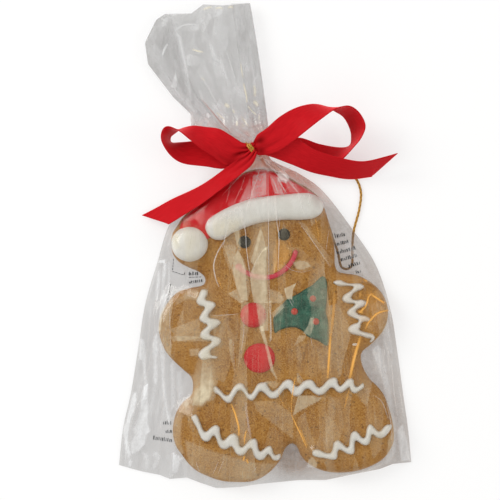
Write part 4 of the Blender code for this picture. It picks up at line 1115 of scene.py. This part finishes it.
across = uneven(film["frontGrid"][0], 0.30, 0.80, 2.0)
x, y = sheetGrid(across, uneven(film["frontGrid"][1], 0.35, 1.0, 1.5))
z = sideHeightAt(y) + (filmTop(x, y) - sideHeightAt(y)) * eased(0, 1.5, fromSide(across[None, :], y)) ** 0.5
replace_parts(filmSheet("filmFront", x, y, z, across, clearFilm, filmHazeAndReflections(x, y), "up"), "bag")
print("front film:", x.size, "points")

across, rise = (np.linspace(0, 1, count) for count in film["backGrid"])
x, y = sheetGrid(across, rise)
# the back sheet's painted shadow, reddened near the neck by a painted reflection of the ribbon
shaded = {"hazeAndPaintedLight": backShade(x, y), "warmth": 0.5 + 0 * x, "redReflection": 0.9 * eased(10, 34, y)}
filmSheet("filmBack", x, y, filmBottom(x, y), across, backedFilm, shaded, "down")


def creaseMaterial(name, cool, warmed):
    # sharp folds are thin raised strips on the film, clear at both sides and painted along the crest: a
    # highlight in the light and glint materials, shade in the shade material
    made, tree, shader = newMaterial(name)
    colour = mixed(tree, attribute(tree, "warmth"), cool, warmed)
    fill(tree, shader, {"Base Color": colour, "Roughness": 0.3})
    opening = node(tree, "BsdfTransparent", {"Color": (1.0, 1.0, 1.0, 1.0)})
    surface = node(tree, "MixShader", {0: attribute(tree, "hazeAndPaintedLight"), 1: opening, 2: shader.outputs[0]})
    tree.links.new(surface, tree.nodes["Material Output"].inputs["Surface"])
    return made


foldLight = creaseMaterial("foldLight", film["white"], film["amber"])
foldShade = creaseMaterial("foldShade", film["rose"], film["shade"])
foldGlint = creaseMaterial("foldGlint", film["glint"], film["amber"])


def foldPiece(name, folds, amber, surface=filmTop, material=foldLight):
    # four lines side by side along each route on the film: low, a raised crest of two, low; the crest's
    # painted highlight, or painted shade in the shade material, fades to both ends, as a power of the sine of
    # the share of the way along
    points, faces, glow = [], [], []
    for width, strength, *route in folds:
        path = evenly(np.reshape(route, (-1, 2)), film["foldStep"])
        side = sideways(path)
        fade = np.sin(np.pi * np.clip(np.linspace(0, 1, len(path)), 0.02, 0.98)) ** 0.45
        offsets = np.array([-1, -0.3, 0.3, 1]) * width / 2 * 1.5
        x, y = path[:, :1] + offsets * side[:, :1], path[:, 1:] + offsets * side[:, 1:]
        z = surface(x, y) + film["foldLift"] + film["foldRise"] * np.array([0, 1, 1, 0]) * width
        faces.append(gridFaces(len(path), 4) + 4 * sum(map(len, glow)))
        points.append(np.dstack([x, y, z]).reshape(-1, 3))
        glow.append(np.array([0, 1, 1, 0]) * (strength * fade)[:, None])
    glow = np.vstack(glow)
    newPiece(name, np.vstack(points), [np.vstack(faces)], material,
             layers={"hazeAndPaintedLight": glow, "warmth": np.full(glow.size, amber)}, facing="up")


foldPiece("whiteCreases", whiteFolds, 0.12)
foldPiece("amberCreases", amberFolds, 1.0)
print("creases done")

# the fan above the neck: its edge routes run up the shares of climb, and its facets and folds are written as
# the bag's are, with painted reflections, pale painted glints and a dark painted shade line
fan = {
    "climb": (0, 0.06, 0.12, 0.2, 0.27, 0.4, 0.62, 0.75, 0.92, 1),
    "leftEdge": (
        (-9.5, 46.2), (-11, 50), (-19.5, 52.6), (-36.9, 59.6), (-37.1, 65.6), (-45.9, 74.1), (-58.4, 90.5),
        (-59.9, 101), (-54.4, 112.5), (-49.9, 115.5),
    ),
    "rightEdge": (
        (1.5, 46.2), (2.4, 50), (2, 55.1), (1.5, 60.1), (1, 64.8), (-0.3, 74.6), (-2.8, 92.5), (-4.3, 102.5),
        (-6.5, 115.5), (-7.5, 120.9),
    ),
    "leftFlap": (
        (-5, 46.2), (-5.5, 50), (-11, 50.6), (-17, 55.9), (-23, 62.8), (-33.9, 74.6), (-39.9, 88.5),
        (-42.4, 100.5), (-45.9, 112.5), (-46.9, 115.7),
    ),
    "rightFlap": (
        (-1.5, 46.2), (-1.5, 50), (-4.5, 55.1), (-6.5, 60.1), (-8.5, 66.1), (-9.7, 75.1), (-12.5, 89.5),
        (-14, 100.5), (-16, 115.5), (-17, 120.4),
    ),
    "topEdge": ((0.0, 0.0), (0.31, -1.4), (0.45, 2.3), (0.68, 0.6), (1.0, 0.0)),
    "height": 4.4, "half": 1.4,
}
fanFacets = (
    (0.1, 0.24, 1.6, -40.9, 107.9, -37.4, 110.4, -32.9, 110.2, -32.4, 107.4, -37.4, 106.9),
    (0.4, 0.25, 0.5, -51.5, 94, -50.9, 97.9, -48.9, 100.9, -48.4, 99.9, -49.9, 97),
    (0.3, 0.14, 0.6, -44.5, 86.6, -43.9, 82.5, -44.4, 78.5, -47.1, 78.8),
    (0.22, 0.1, 1.2, -44.4, 105.9, -41.9, 104.4, -38.4, 86.5, -35.9, 72.5, -37.9, 72, -40.4, 82.5),
    (0.22, 0.05, 0.8, -39.2, 94.5, -36.4, 95.5, -30.4, 92.5, -34.4, 89.5, -38.9, 89.5),
    (0.12, 0.16, 2, -43.4, 76.5, -37.4, 72.5, -33.9, 66.5, -36.4, 63.6, -37.2, 66.5),
    (0.3, 0.3, 0.4, -29.4, 65.5, -28.4, 66.3, -26.9, 64.5, -28.4, 63.6),
    (0.09, 0.05, 2, -13.5, 102.4, -4.5, 99.9, -1.5, 74.5, -1.5, 63.6, -8.5, 68.5),
    (0.1, 0.02, 1.5, -22.5, 96.5, -16.5, 87.5, -12.5, 73.5, -16.5, 72.5, -21.5, 84.5),
    (0.12, 0.03, 1, -30.4, 89.5, -26.4, 84.5, -24, 74.5, -27.9, 77.5),
    (0.1, 0.03, 0.8, -21.5, 79.5, -16, 76.5, -14.5, 69.5, -19.5, 70.5),
    (0.14, 0.03, 0.6, -28.4, 102.4, -24.4, 97.5, -22, 90.5, -26.4, 93.5),
    (0.11, 0.04, 1.5, -27.4, 73.5, -21.5, 66.5, -17, 58.6, -25.4, 63.6),
    (0.14, 0.02, 0.5, -53.4, 90.5, -50.9, 86.5, -44.4, 77.5, -46.9, 78.5),
    (0.1, 0.04, 1.2, -16.5, 68.5, -9.5, 66.5, -5.5, 58.6, -12.5, 58.6),
    (0.09, 0.09, 0.5, -37.1, 65.5, -29.4, 63.6, -24.4, 58.6, -36.9, 59.6),
    (0.08, 0.12, 0.5, -29.9, 119.9, -20.5, 119.4, -21.5, 115.4, -27.9, 112.4),
    (0.12, 0.04, 0.6, -32.4, 112.4, -28.4, 116.4, -26.4, 113.4, -30.9, 106.4),
)
fanWhite = (
    (0.6, 0.4, -45.4, 106.4, -43.4, 108.4, -40.9, 109.6, -37.4, 110.3, -33.7, 109.9),
    (0.8, 0.3, -43.4, 105.4, -41.9, 100.4, -40.4, 93.4, -38.4, 82.5, -36.9, 73.5),
    (0.5, 0.35, -52.4, 89.5, -48.4, 83.5, -42.4, 74.5, -38.4, 71),
    (0.45, 0.3, -50.9, 88.5, -46.4, 83, -43.4, 78.5, -39.9, 74),
    (1.1, 0.32, -25.7, 67.3, -24.4, 69, -22.7, 70.3),
    (0.5, 0.28, -29.4, 102.4, -25.4, 96.4, -20.5, 87.5, -17.5, 77.5),
    (0.45, 0.26, -21.5, 102.4, -17.5, 91.4, -14.5, 80.5, -12.5, 70.5),
    (0.7, 0.22, -8, 99.4, -6, 87.5, -4, 74.5, -2, 62.5),
    (0.5, 0.25, -34.4, 87.5, -29.4, 80.5, -23.4, 69.5, -19.5, 61.5),
    (0.45, 0.3, -46.9, 114.4, -45.4, 109.4, -43.4, 104.4),
    (0.4, 0.28, -19.5, 80.5, -17, 74, -16, 67.5, -13.5, 60.5),
    (0.45, 0.22, -11, 107.4, -8, 107.4, -7, 104.4),
    (0.5, 0.25, -43.4, 72.5, -40.4, 68, -37.4, 66),
    (0.5, 0.3, -37.4, 65.5, -37, 62.5, -36.9, 59.5),
    (0.4, 0.25, -49.9, 114.9, -42.4, 115.4, -36.9, 115.6),
    (0.45, 0.25, -11, 61.5, -8.5, 65.5, -5.5, 68),
    (0.5, 0.3, -6.5, 80.5, -4.5, 83.5, -3, 86.5),
)
fanCream = (
    (0.8, 0.6, -36.4, 97.9, -33.4, 96.9, -30.7, 96.4),
    (1, 0.5, -30.9, 117.4, -28.9, 118.4, -26.4, 119),
    (0.8, 0.5, -24.9, 118.1, -22.5, 118.6, -21, 118),
    (0.9, 0.5, -18.7, 118.2, -17, 119.1, -15.7, 118.4),
    (0.55, 0.5, -12.2, 90.9, -11.7, 87.5, -11, 83.5),
    (0.75, 0.65, -10.7, 81, -10, 77.5, -9.2, 74, -9.1, 71),
    (0.65, 0.6, -8.7, 69.8, -6.5, 67, -4.3, 65),
    (1.4, 0.4, -5.4, 80, -5, 77, -5, 74),
    (1.6, 0.55, -6, 71.8, -4.5, 71, -3.6, 69.3),
    (1.7, 0.5, -20.3, 70.5, -19, 69.8, -17.7, 68.8),
    (0.9, 0.45, -16.2, 67.8, -15.7, 66.8, -15.1, 65.8),
    (1, 0.5, -14.1, 62.3, -14, 60.8, -14.1, 59.3),
    (0.65, 0.45, -24.2, 66.3, -22.2, 64.5, -20, 62.5),
    (0.9, 0.35, -12, 64.5, -10.2, 62, -8.2, 59.1),
    (1.1, 0.3, -11.5, 60.5, -10.7, 59.7, -9.7, 59.3),
    (0.8, 0.35, -3, 65.5, -2.9, 64, -3, 62.5),
    (0.7, 0.3, -31.9, 83.7, -30.9, 83, -29.9, 82.5),
)
# dark rose painted shade lines along folds of the fan
fanDark = (
    (0.65, 0.5, -31.7, 73, -28.4, 69, -25.4, 65.5, -22.5, 62, -19.5, 58.8, -16.7, 55.6),
    (1.3, 0.2, -8, 58.6, -4.5, 59.5, -1, 60.3),
)


def along(route, rise):
    # an edge route read at each share of the climb
    return [np.interp(rise, fan["climb"], line)[:, None] for line in np.transpose(fan[route])]


def crumple(x, y, seed):
    # irregular facets: five triangle waves, wandering, and each present only in places of its own
    total = 0
    for angle, size, lift, shift in ((97, 13, 0.9, 1), (115, 21, 1.0, 2), (80, 17, 0.8, 3), (40, 26, 0.6, 4),
                                     (150, 19, 0.5, 5)):
        wave = wandering(x, y, angle, size, 0.3, 2.5, seed + shift)
        total = total + lift * eased(-0.3, 0.5, wobble(x, y, 34, seed + shift + 9)) * (wave - 0.4)
    return total


def fanSheet(across, rise, edges, layer, seed):
    # a sheet from the neck's ellipse to the cut edge: straight between two side routes, lying in a layer
    (startX, startY), (endX, endY) = along(edges[0], rise), along(edges[1], rise)
    x = startX + (endX - startX) * across
    y = startY + (endY - startY) * across
    leftX, rightX = along("leftEdge", rise)[0], along("rightEdge", rise)[0]
    whole = (x - leftX) / (rightX - leftX)
    y = y + np.interp(whole, *np.transpose(fan["topEdge"])) * eased(0.86, 1.0, rise)[:, None]
    arch = np.sqrt(np.clip(1 - (2 * whole - 1) ** 2, 0, 1))
    pleats = 0.9 * (creased(7.3 * whole + 0.1 * wobble(x, y, 30, seed)) - 0.4) + 0.4 * creased(17 * whole)
    pleats = pleats * eased(0.2, 0.6, whole)
    neck = film["neck"][2] + layer * film["neckHalf"][1] * arch + pleats * 0.5
    flat = fan["height"] + layer * fan["half"] * (0.4 + 0.6 * arch) + 0.8 * wobble(x, y, 60, 5)
    flat = flat + 0.55 * crumple(x, y, seed) + pleats * (1 - 0.8 * eased(0.15, 0.7, rise))[:, None]
    return x, y, np.maximum(neck + (flat - neck) * eased(0.0, 0.3, rise)[:, None], 0.1)


for name, edges, layer, seed, size in (
        ("fanBack", ("leftEdge", "rightEdge"), -1.0, 5, (130, 110)),
        ("fanGusset", ("leftEdge", "rightEdge"), 0.0, 14, (110, 100)),
        ("fanFront", ("leftEdge", "rightEdge"), 1.0, 2, (220, 190)),
        ("fanLeftFlap", ("leftEdge", "leftFlap"), 0.7, 8, (80, 130)),
        ("fanRightFlap", ("rightFlap", "rightEdge"), 0.75, 11, (50, 130))):
    across, rise = (np.linspace(0, 1, count) for count in size)
    x, y, z = fanSheet(across, rise, edges, layer, seed)
    spread, climb = np.meshgrid(60 * (across - 0.5), 90 * rise - 60)
    # painted reflections whiten the fan's sheets, and a painted reflection of the ribbon's red warms them
    # near the neck
    white = 1.4 * facetStrengths(x, y, fanFacets) if name == "fanFront" else 0.02 + 0 * x
    white = white + (0.20 if layer > 0 else 0.08) * cellTones(spread, climb, 4.5, 13, seed + 20)
    white = white + 0.09 * eased(0.1, 1.3, wobble(x, 0.35 * y, 7, seed + 20) + wobble(x, y, 19, seed + 21))
    blotched = 0.4 + 0.6 * eased(-0.4, 0.7, wobble(1.5 * x, 1.5 * y, 6, seed + 30))
    redReflection = eased(0.32, 0.10, rise)[:, None] * blotched
    layers = {"hazeAndPaintedLight": white + 0.16 * redReflection, "warmth": 0 * x, "redReflection": 0.8 * redReflection}
    filmSheet(name, x, y, z, across, fanFilm, layers, "down" if layer <= 0 else "up")
    if name == "fanFront":
        fanPlaces = np.dstack([x, y, z]).reshape(-1, 3)[::2]


def fanTop(x, y):
    # the height of the nearest point of the fan's front sheet
    gaps = (np.ravel(x)[:, None] - fanPlaces[:, 0]) ** 2 + (np.ravel(y)[:, None] - fanPlaces[:, 1]) ** 2
    return fanPlaces[gaps.argmin(1), 2].reshape(np.shape(x))


foldPiece("fanWhiteCreases", fanWhite, 0.0, fanTop)
foldPiece("fanCreamGlints", fanCream, 0.06, fanTop, foldGlint)
foldPiece("fanDarkCreases", fanDark, 0.0, fanTop, foldShade)
print("fan done")

# marks on the back of the bag are plain dashes
printInk, tree, shader = newMaterial("printInk")
inkColour = mixed(tree, noise(tree, onObject(tree), 900.0), (0.004, 0.004, 0.005), (0.02, 0.02, 0.022))
fill(tree, shader, {"Base Color": inkColour, "Roughness": 0.6})

printRows = (  # start of each row, its direction in degrees, its length, the height of its marks
    (35.1, 3.7, 12, 4.6, 2.3),
    (35.5, -0.3, 14, 6, 2),
    (36, -4.4, 14, 9.2, 2.2),
    (38, -8, 16, 8.6, 2),
    (42, -11.2, 18, 5.8, 2.3),
    (45.7, -14.1, 14, 2.6, 1.8),
    (-38.2, -15, 2, 4.8, 1.9),
    (-37.7, -19.1, 8, 6.4, 1.6),
    (-51, -89.5, 0, 4.4, 2.1),
    (-49.7, -93.7, -2, 3.6, 1.7),
    (-56, -97, -8, 9.8, 2.2),
)
printLines = (
    ((-45.7, -6.7), (-46, -10.2), (-46.3, -12.7)),
    ((-46.3, -13), (-43.5, -13.8), (-40.7, -14.7), (-39.9, -13.2)),
    ((-38, -15.9), (-35, -15.8), (-31.5, -15.7)),
    ((-47.1, -19.2), (-47.7, -22.7), (-48.5, -26.2), (-49.1, -29.2)),
)


def printMarks():
    # each row is a run of short upright blocks of uneven width and height, each line a chain of thin dashes
    draw = np.random.default_rng(8)
    marks = []
    for startX, startY, turn, length, tall in printRows:
        ahead = np.array([math.cos(math.radians(turn)), math.sin(math.radians(turn))])
        upward = np.array([-ahead[1], ahead[0]])
        at = 0.0
        while at < length:
            wide, high = draw.uniform(0.32, 0.70), tall * draw.uniform(0.55, 1.0)
            corner = np.array([startX, startY]) + ahead * at
            lean = upward * high + ahead * draw.uniform(-0.3, 0.3)
            marks.append([corner, corner + ahead * wide, corner + ahead * wide + lean, corner + lean])
            at += wide + draw.uniform(0.30, 0.56)
    for route in printLines:
        path = evenly(route, 1.6)
        for a, b in zip(path[:-1], path[1:]):
            side = np.array([a[1] - b[1], b[0] - a[0]]) / np.hypot(*(b - a)) * 0.17
            end = a + 0.75 * (b - a)
            marks.append([a - side, end - side, end + side, a + side])
    flat = np.array(marks).reshape(-1, 2)
    points = np.column_stack([flat, filmBottom(flat[:, 0], flat[:, 1]) + 0.08])
    newPiece("printMarks", points, [np.arange(len(flat)).reshape(-1, 4)], printInk, facing="up")


printMarks()

ribbon = {
    "thickness": 0.35, "width": 15.0, "columns": 25, "stepsPerStation": 9, "gather": 0.85, "gatherReach": 7.5,
    "colour": (0.57, 0.0110, 0.0165), "deep": (0.45, 0.0075, 0.012), "sheen": (0.95, 0.018, 0.030),
    "pleatShade": (0.20, 0.002, 0.003),
    # stations of each strip: x, y and z of one edge and then of the other
    "rightLoop": (
        (-5.6, 50.6, 15, -4.6, 47.2, 15), (-4.2, 54.4, 18, -2.6, 44.9, 17.8), (0.6, 58, 19, 4.8, 46, 18.2),
        (7.5, 64, 19.5, 13, 51, 19.5), (15.5, 68.3, 17, 22, 58, 24), (23.5, 70.3, 14, 28.5, 63, 25),
        (30, 69.3, 12, 34.5, 67.3, 25), (35, 66.5, 10.5, 41, 69, 23.5), (39, 63.8, 9, 46, 66, 21.5),
        (42, 58.8, 7.5, 49.5, 59.8, 19.8), (43, 54.3, 6, 48.3, 54.3, 19), (42, 49.9, 4.5, 44.6, 49.3, 17.5),
        (36.5, 48.9, 2, 35.5, 41, 12), (27, 50.8, 2.2, 23.5, 39.2, 8.6), (16.5, 53.8, 6.5, 13, 42.3, 9.5),
        (5, 51.5, 12.5, 2.5, 45.2, 12.3), (-3.5, 50, 14.7, -3.8, 46.4, 14.7),
    ),
    "rightTail": (
        (-4, 50.2, 15.3, -3.5, 46, 15.3), (6.5, 52.3, 17, 5, 43.3, 13.8), (16.3, 52.3, 17.5, 13, 40.3, 12),
        (24.5, 47.5, 17, 23.3, 36.5, 8), (36, 43.8, 16, 34.5, 34, 5.4), (45, 41.8, 15, 43.5, 33.3, 3.2),
        (51.5, 42.1, 14.5, 52.5, 34.3, 2.7), (59, 43.9, 13.5, 53.2, 34.8, 2.8),
        (65.9, 45.8, 12.5, 54.2, 35.4, 3.2),
    ),
    "leftLoop": (
        (-5.5, 50.2, 17, -6, 46.6, 17), (-11, 50.8, 18.5, -12.5, 42.9, 14.5),
        (-16.4, 54.1, 19, -18.5, 39.6, 13.5), (-22.5, 57.7, 18.5, -26, 44.3, 19),
        (-29.3, 58.8, 15, -32, 48.3, 24), (-35.5, 59.5, 12.8, -38, 52.8, 25),
        (-41, 58.3, 11.3, -43, 56.5, 25), (-44.5, 55.9, 10.3, -48.3, 58.6, 23.5),
        (-46.9, 53.8, 9.6, -51, 56.3, 22.5), (-46.4, 51.2, 9.2, -51, 51.3, 22),
        (-41.5, 51.3, 9, -46.8, 44.8, 20), (-36.8, 51.8, 9, -40.5, 40.8, 17),
        (-28.5, 52.3, 9.8, -29.5, 39.2, 13.5), (-20.5, 49.8, 11.2, -19.5, 38.3, 11.5),
        (-12.5, 48.8, 12.8, -11, 43, 12.8), (-6, 49.6, 14, -6, 46.3, 14),
    ),
    "leftTail": (
        (-6, 48.5, 18.4, -3.8, 46.4, 18.4), (-12.2, 43.4, 18.4, -5.6, 41.4, 17.6),
        (-18.6, 39.3, 14.8, -9.8, 37, 16.8), (-27, 33, 7, -22, 27.9, 16.2),
        (-35.3, 28.3, 4.5, -31, 21.3, 14.5), (-47.2, 22.7, 3, -42, 14, 12.4), (-54, 19, 2.4, -47, 11, 9.8),
        (-61.5, 15.1, 2, -48, 10.6, 9),
    ),
}

redSatin, tree, shader = newMaterial("redSatin")
weave = node(tree, "UVMap")
threads = noise(tree, node(tree, "Mapping", {"Vector": weave, "Scale": (1.0, 0.06, 1.0)}), 3200.0)
weft = node(tree, "TexWave", {"Vector": weave, "Scale": 480.0, "Distortion": 0.6, "Detail": 1.0}, "Fac",
            bands_direction="Y")
facing = node(tree, "LayerWeight", {"Blend": 0.35}, "Facing")
colour = mixed(tree, ranged(tree, threads, 0.3, 0.7), ribbon["deep"], ribbon["colour"])
# painted sheen: the red turns towards the brighter sheen colour where the ribbon is seen edge-on, which also
# lightens its shaded steep faces
colour = mixed(tree, ranged(tree, facing, 0.35, 0.85, 0.0, 0.80), colour, ribbon["sheen"])
fill(tree, shader, {
    # painted shade: an attribute darkens the red in the pleat valleys near the knot, in the pits and in the
    # knot's grooves
    "Base Color": mixed(tree, attribute(tree, "pleatShade"), colour, ribbon["pleatShade"]), "Specular IOR Level": 0.03,
    "Roughness": ranged(tree, threads, 0.3, 0.7, 0.36, 0.48),
    "Normal": bumped(tree, combined(tree, "ADD", threads, weft), 0.25, 0.0001)})


def squareTo(sheet):
    # unit normals of a grid of points: the cross product of its two directions
    across = np.cross(np.gradient(sheet, axis=0), np.gradient(sheet, axis=1))
    return across / np.maximum(np.linalg.norm(across, axis=2, keepdims=True), 1e-9)


def ribbonStrip(stations, ends, phase, pits):
    # a sheet between two edge curves, gathered into small pleats near the knot, then given two faces
    rows = (len(stations) - 1) * ribbon["stepsPerStation"] + 1
    edges = through(stations, rows)
    share = np.linspace(0, 1, ribbon["columns"])
    middle = edges[:, None, :3] * (1 - share)[None, :, None] + edges[:, None, 3:] * share[None, :, None]
    run = lengthsAlong(0.5 * (edges[:, :3] + edges[:, 3:]))
    near = sum(np.exp(-np.abs(run - end) / ribbon["gatherReach"]) for end in [0.0, run[-1]][:ends])
    wave = np.cos(2 * np.pi * (2.6 * share[None, :] + phase))
    pleat = ribbon["gather"] * near[:, None] * wave
    # painted shade in the pleat valleys near the knot, and in the pits below
    pleatShade = 0.65 * np.clip(1.5 * near[:, None] - 0.15, 0, 1) * eased(0.1, -0.9, wave)
    for runAt, shareAt, runWide, shareWide, depth in pits:
        pit = np.exp(-((run[:, None] - runAt) / runWide) ** 2 - ((share[None, :] - shareAt) / shareWide) ** 2)
        pleat, pleatShade = pleat - depth * pit, np.maximum(pleatShade, 0.9 * depth * pit)
    ripple = 0.22 * wobble(run[:, None] * 0.9 + 40 * phase, share[None, :] * 12, 19, int(50 + 10 * phase))
    middle = middle + squareTo(middle) * (pleat + ripple)[..., None]
    out = squareTo(middle) * ribbon["thickness"] / 2
    ring = np.concatenate([middle + out, (middle - out)[:, ::-1]], axis=1)
    columns = ring.shape[1]
    caps = np.array([(k, k + 1, columns - 2 - k, columns - 1 - k) for k in range(ribbon["columns"] - 1)])
    faces = [gridFaces(rows, columns, closed=True), caps[:, ::-1], caps + (rows - 1) * columns]
    uv = np.dstack(np.broadcast_arrays(np.r_[share, share[::-1]] * ribbon["width"] * mm, run[:, None] * mm))
    return ring, faces, uv, {"pleatShade": np.hstack([pleatShade, pleatShade[:, ::-1]])}, run[-1]


# each strip's name and stations, how many of its ends are tied, the phase of its pleats, and its pits: where
# they lie along and across it, their lengths and widths, and their depths, which also set their painted shade
for name, key, ends, phase, pits in (
        ("bowRightLoop", "rightLoop", 2, 0.1,
         ((5.0, 0.32, 2.3, 0.19, 1.1), (4.3, 0.80, 2.0, 0.20, 1.1), (9.0, 0.62, 5.0, 0.05, 0.3))),
        ("bowRightTail", "rightTail", 1, 0.35, ((4.0, 0.15, 3.0, 0.2, 0.6),)),
        ("bowLeftLoop", "leftLoop", 2, 0.6, ((6.5, 0.62, 3.5, 0.12, 0.7), (14.0, 0.85, 5.0, 0.08, 0.4))),
        ("bowLeftTail", "leftTail", 1, 0.85, ((7.5, 0.10, 2.5, 0.15, 0.6),))):
    points, faces, uv, layers, length = ribbonStrip(ribbon[key], ends, phase, pits)
    strip = newPiece(name, points, faces, redSatin, uv, layers)
    if key == "rightLoop":
        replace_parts(strip, "ribbon")
    print("%s: %.1f mm long" % (name, length))

# the knot: an ellipsoid lying along its heading, ridged round its length by a cosine, with painted shade in
# the grooves between the ridges
knot = {"centre": (-5.6, 48.1, 15.2), "half": (3.2, 2.9, 2.6), "ridges": 9, "ridge": 0.10, "heading": 20}
turn, climb = np.meshgrid(np.linspace(0, 2 * np.pi, 72, endpoint=False), np.linspace(0, np.pi, 26)[1:-1])
swell = 1 + knot["ridge"] * np.cos(knot["ridges"] * turn) * np.sin(climb)
ahead, aside = math.cos(math.radians(knot["heading"])), math.sin(math.radians(knot["heading"]))
lengthwise, sidewise = knot["half"][0] * np.cos(climb), knot["half"][1] * swell * np.sin(climb) * np.cos(turn)
upward = knot["half"][2] * swell * np.sin(climb) * np.sin(turn)
shape = np.dstack([lengthwise * ahead - sidewise * aside, lengthwise * aside + sidewise * ahead, upward])
tip = np.array([ahead, aside, 0]) * knot["half"][0]
points = np.vstack([shape.reshape(-1, 3), tip, -tip]) + knot["centre"]
uv = np.vstack([np.dstack([turn * 2.4 * mm, climb * 3 * mm]).reshape(-1, 2), np.zeros((2, 2))])
pleatShade = np.r_[(0.8 * eased(0.2, -0.9, np.cos(knot["ridges"] * turn)) + 0 * climb).ravel(), 0.5, 0.5]
newPiece("bowKnot", points, tubeFaces(*turn.shape), redSatin, uv, {"pleatShade": pleatShade})


def wrap(centre, heading, halfAcross, halfUp, turns, advance, start):
    # an upright oval helix: level along the heading in degrees, and each turn moves on square to it
    turn = np.linspace(0, 2 * np.pi * turns, int(150 * turns)) + start
    level = halfAcross * np.cos(turn)
    onward = advance * (np.linspace(0, 1, len(turn)) - 0.5) * turns
    ahead, aside = math.cos(math.radians(heading)), math.sin(math.radians(heading))
    return np.column_stack([level * ahead - onward * aside, level * aside + onward * ahead,
                            halfUp * np.sin(turn)]) + centre


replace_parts(braidedTube("neckWrap", wrap(*elastic["neckWrap"])), "neck_tie")
braidedTube("bowWrap", wrap(*elastic["bowWrap"]))

# the floor, faintly lit like a light table
studio = {
    "floor": ((0.42, 0.42, 0.42), (0.43, 0.43, 0.43)), "floorGlow": 0.56, "floorReach": 6.0,
    "floorHeight": -0.0002,
    "ambient": 0.77, "ceiling": 0.16, "backdrop": 1.35,
    # each lamp: name, place in metres, side in metres, watts, colour
    "lamps": (("keySoftbox", (-1.10, 0.62, 0.85), 0.7, 10.5, (1.0, 0.99, 0.965)),
              ("rightFill", (1.15, -0.20, 0.80), 0.6, 2.2, (1.0, 0.90, 0.76))),
}
paleFloor, tree, shader = newMaterial("paleFloor")
fill(tree, shader, {
    "Base Color": mixed(tree, noise(tree, onObject(tree), 3.0), *studio["floor"]), "Roughness": 0.9,
    "Emission Color": (1.0, 1.0, 1.0, 1.0), "Emission Strength": studio["floorGlow"],
    "Specular IOR Level": 0.1})
floorMesh = bpy.data.meshes.new("floor")
far = studio["floorReach"]
corners = ((-far, -far), (far, -far), (far, far), (-far, far))
floorMesh.from_pydata([(*corner, studio["floorHeight"]) for corner in corners], [], [(0, 1, 2, 3)])
floorMesh.materials.append(paleFloor)
floor = bpy.data.objects.new("floor", floorMesh)
scene.collection.objects.link(floor)

for name, place, side, watts, colour in studio["lamps"]:
    lampData = bpy.data.lights.new(name, "AREA")
    lampData.shape = "SQUARE"
    lampData.size = side
    lampData.energy = watts
    lampData.color = colour
    lamp = bpy.data.objects.new(name, lampData)
    lamp.location = place
    lamp.rotation_mode = "QUATERNION"
    lamp.rotation_quaternion = (Vector((0, 0, 0)) - Vector(place)).to_track_quat("-Z", "Y")
    scene.collection.objects.link(lamp)

# soft light from all round, whose ceiling is dim in reflections
scene.world = bpy.data.worlds.new("studio")
scene.world.use_nodes = True
tree = scene.world.node_tree
rays = node(tree, "LightPath", out=None)
ambient = ranged(tree, rays["Is Glossy Ray"], 0.0, 1.0, studio["ambient"], studio["ceiling"])
seen = ranged(tree, rays["Is Camera Ray"], 0.0, 1.0, 1.0, studio["backdrop"])
fill(tree, tree.nodes["Background"], {"Color": (1.0, 1.0, 1.0, 1.0),
                                      "Strength": combined(tree, "MULTIPLY", ambient, seen)})
scene.view_settings.view_transform = "Standard"
scene.cycles.transparent_max_bounces = 32

print("scene built")
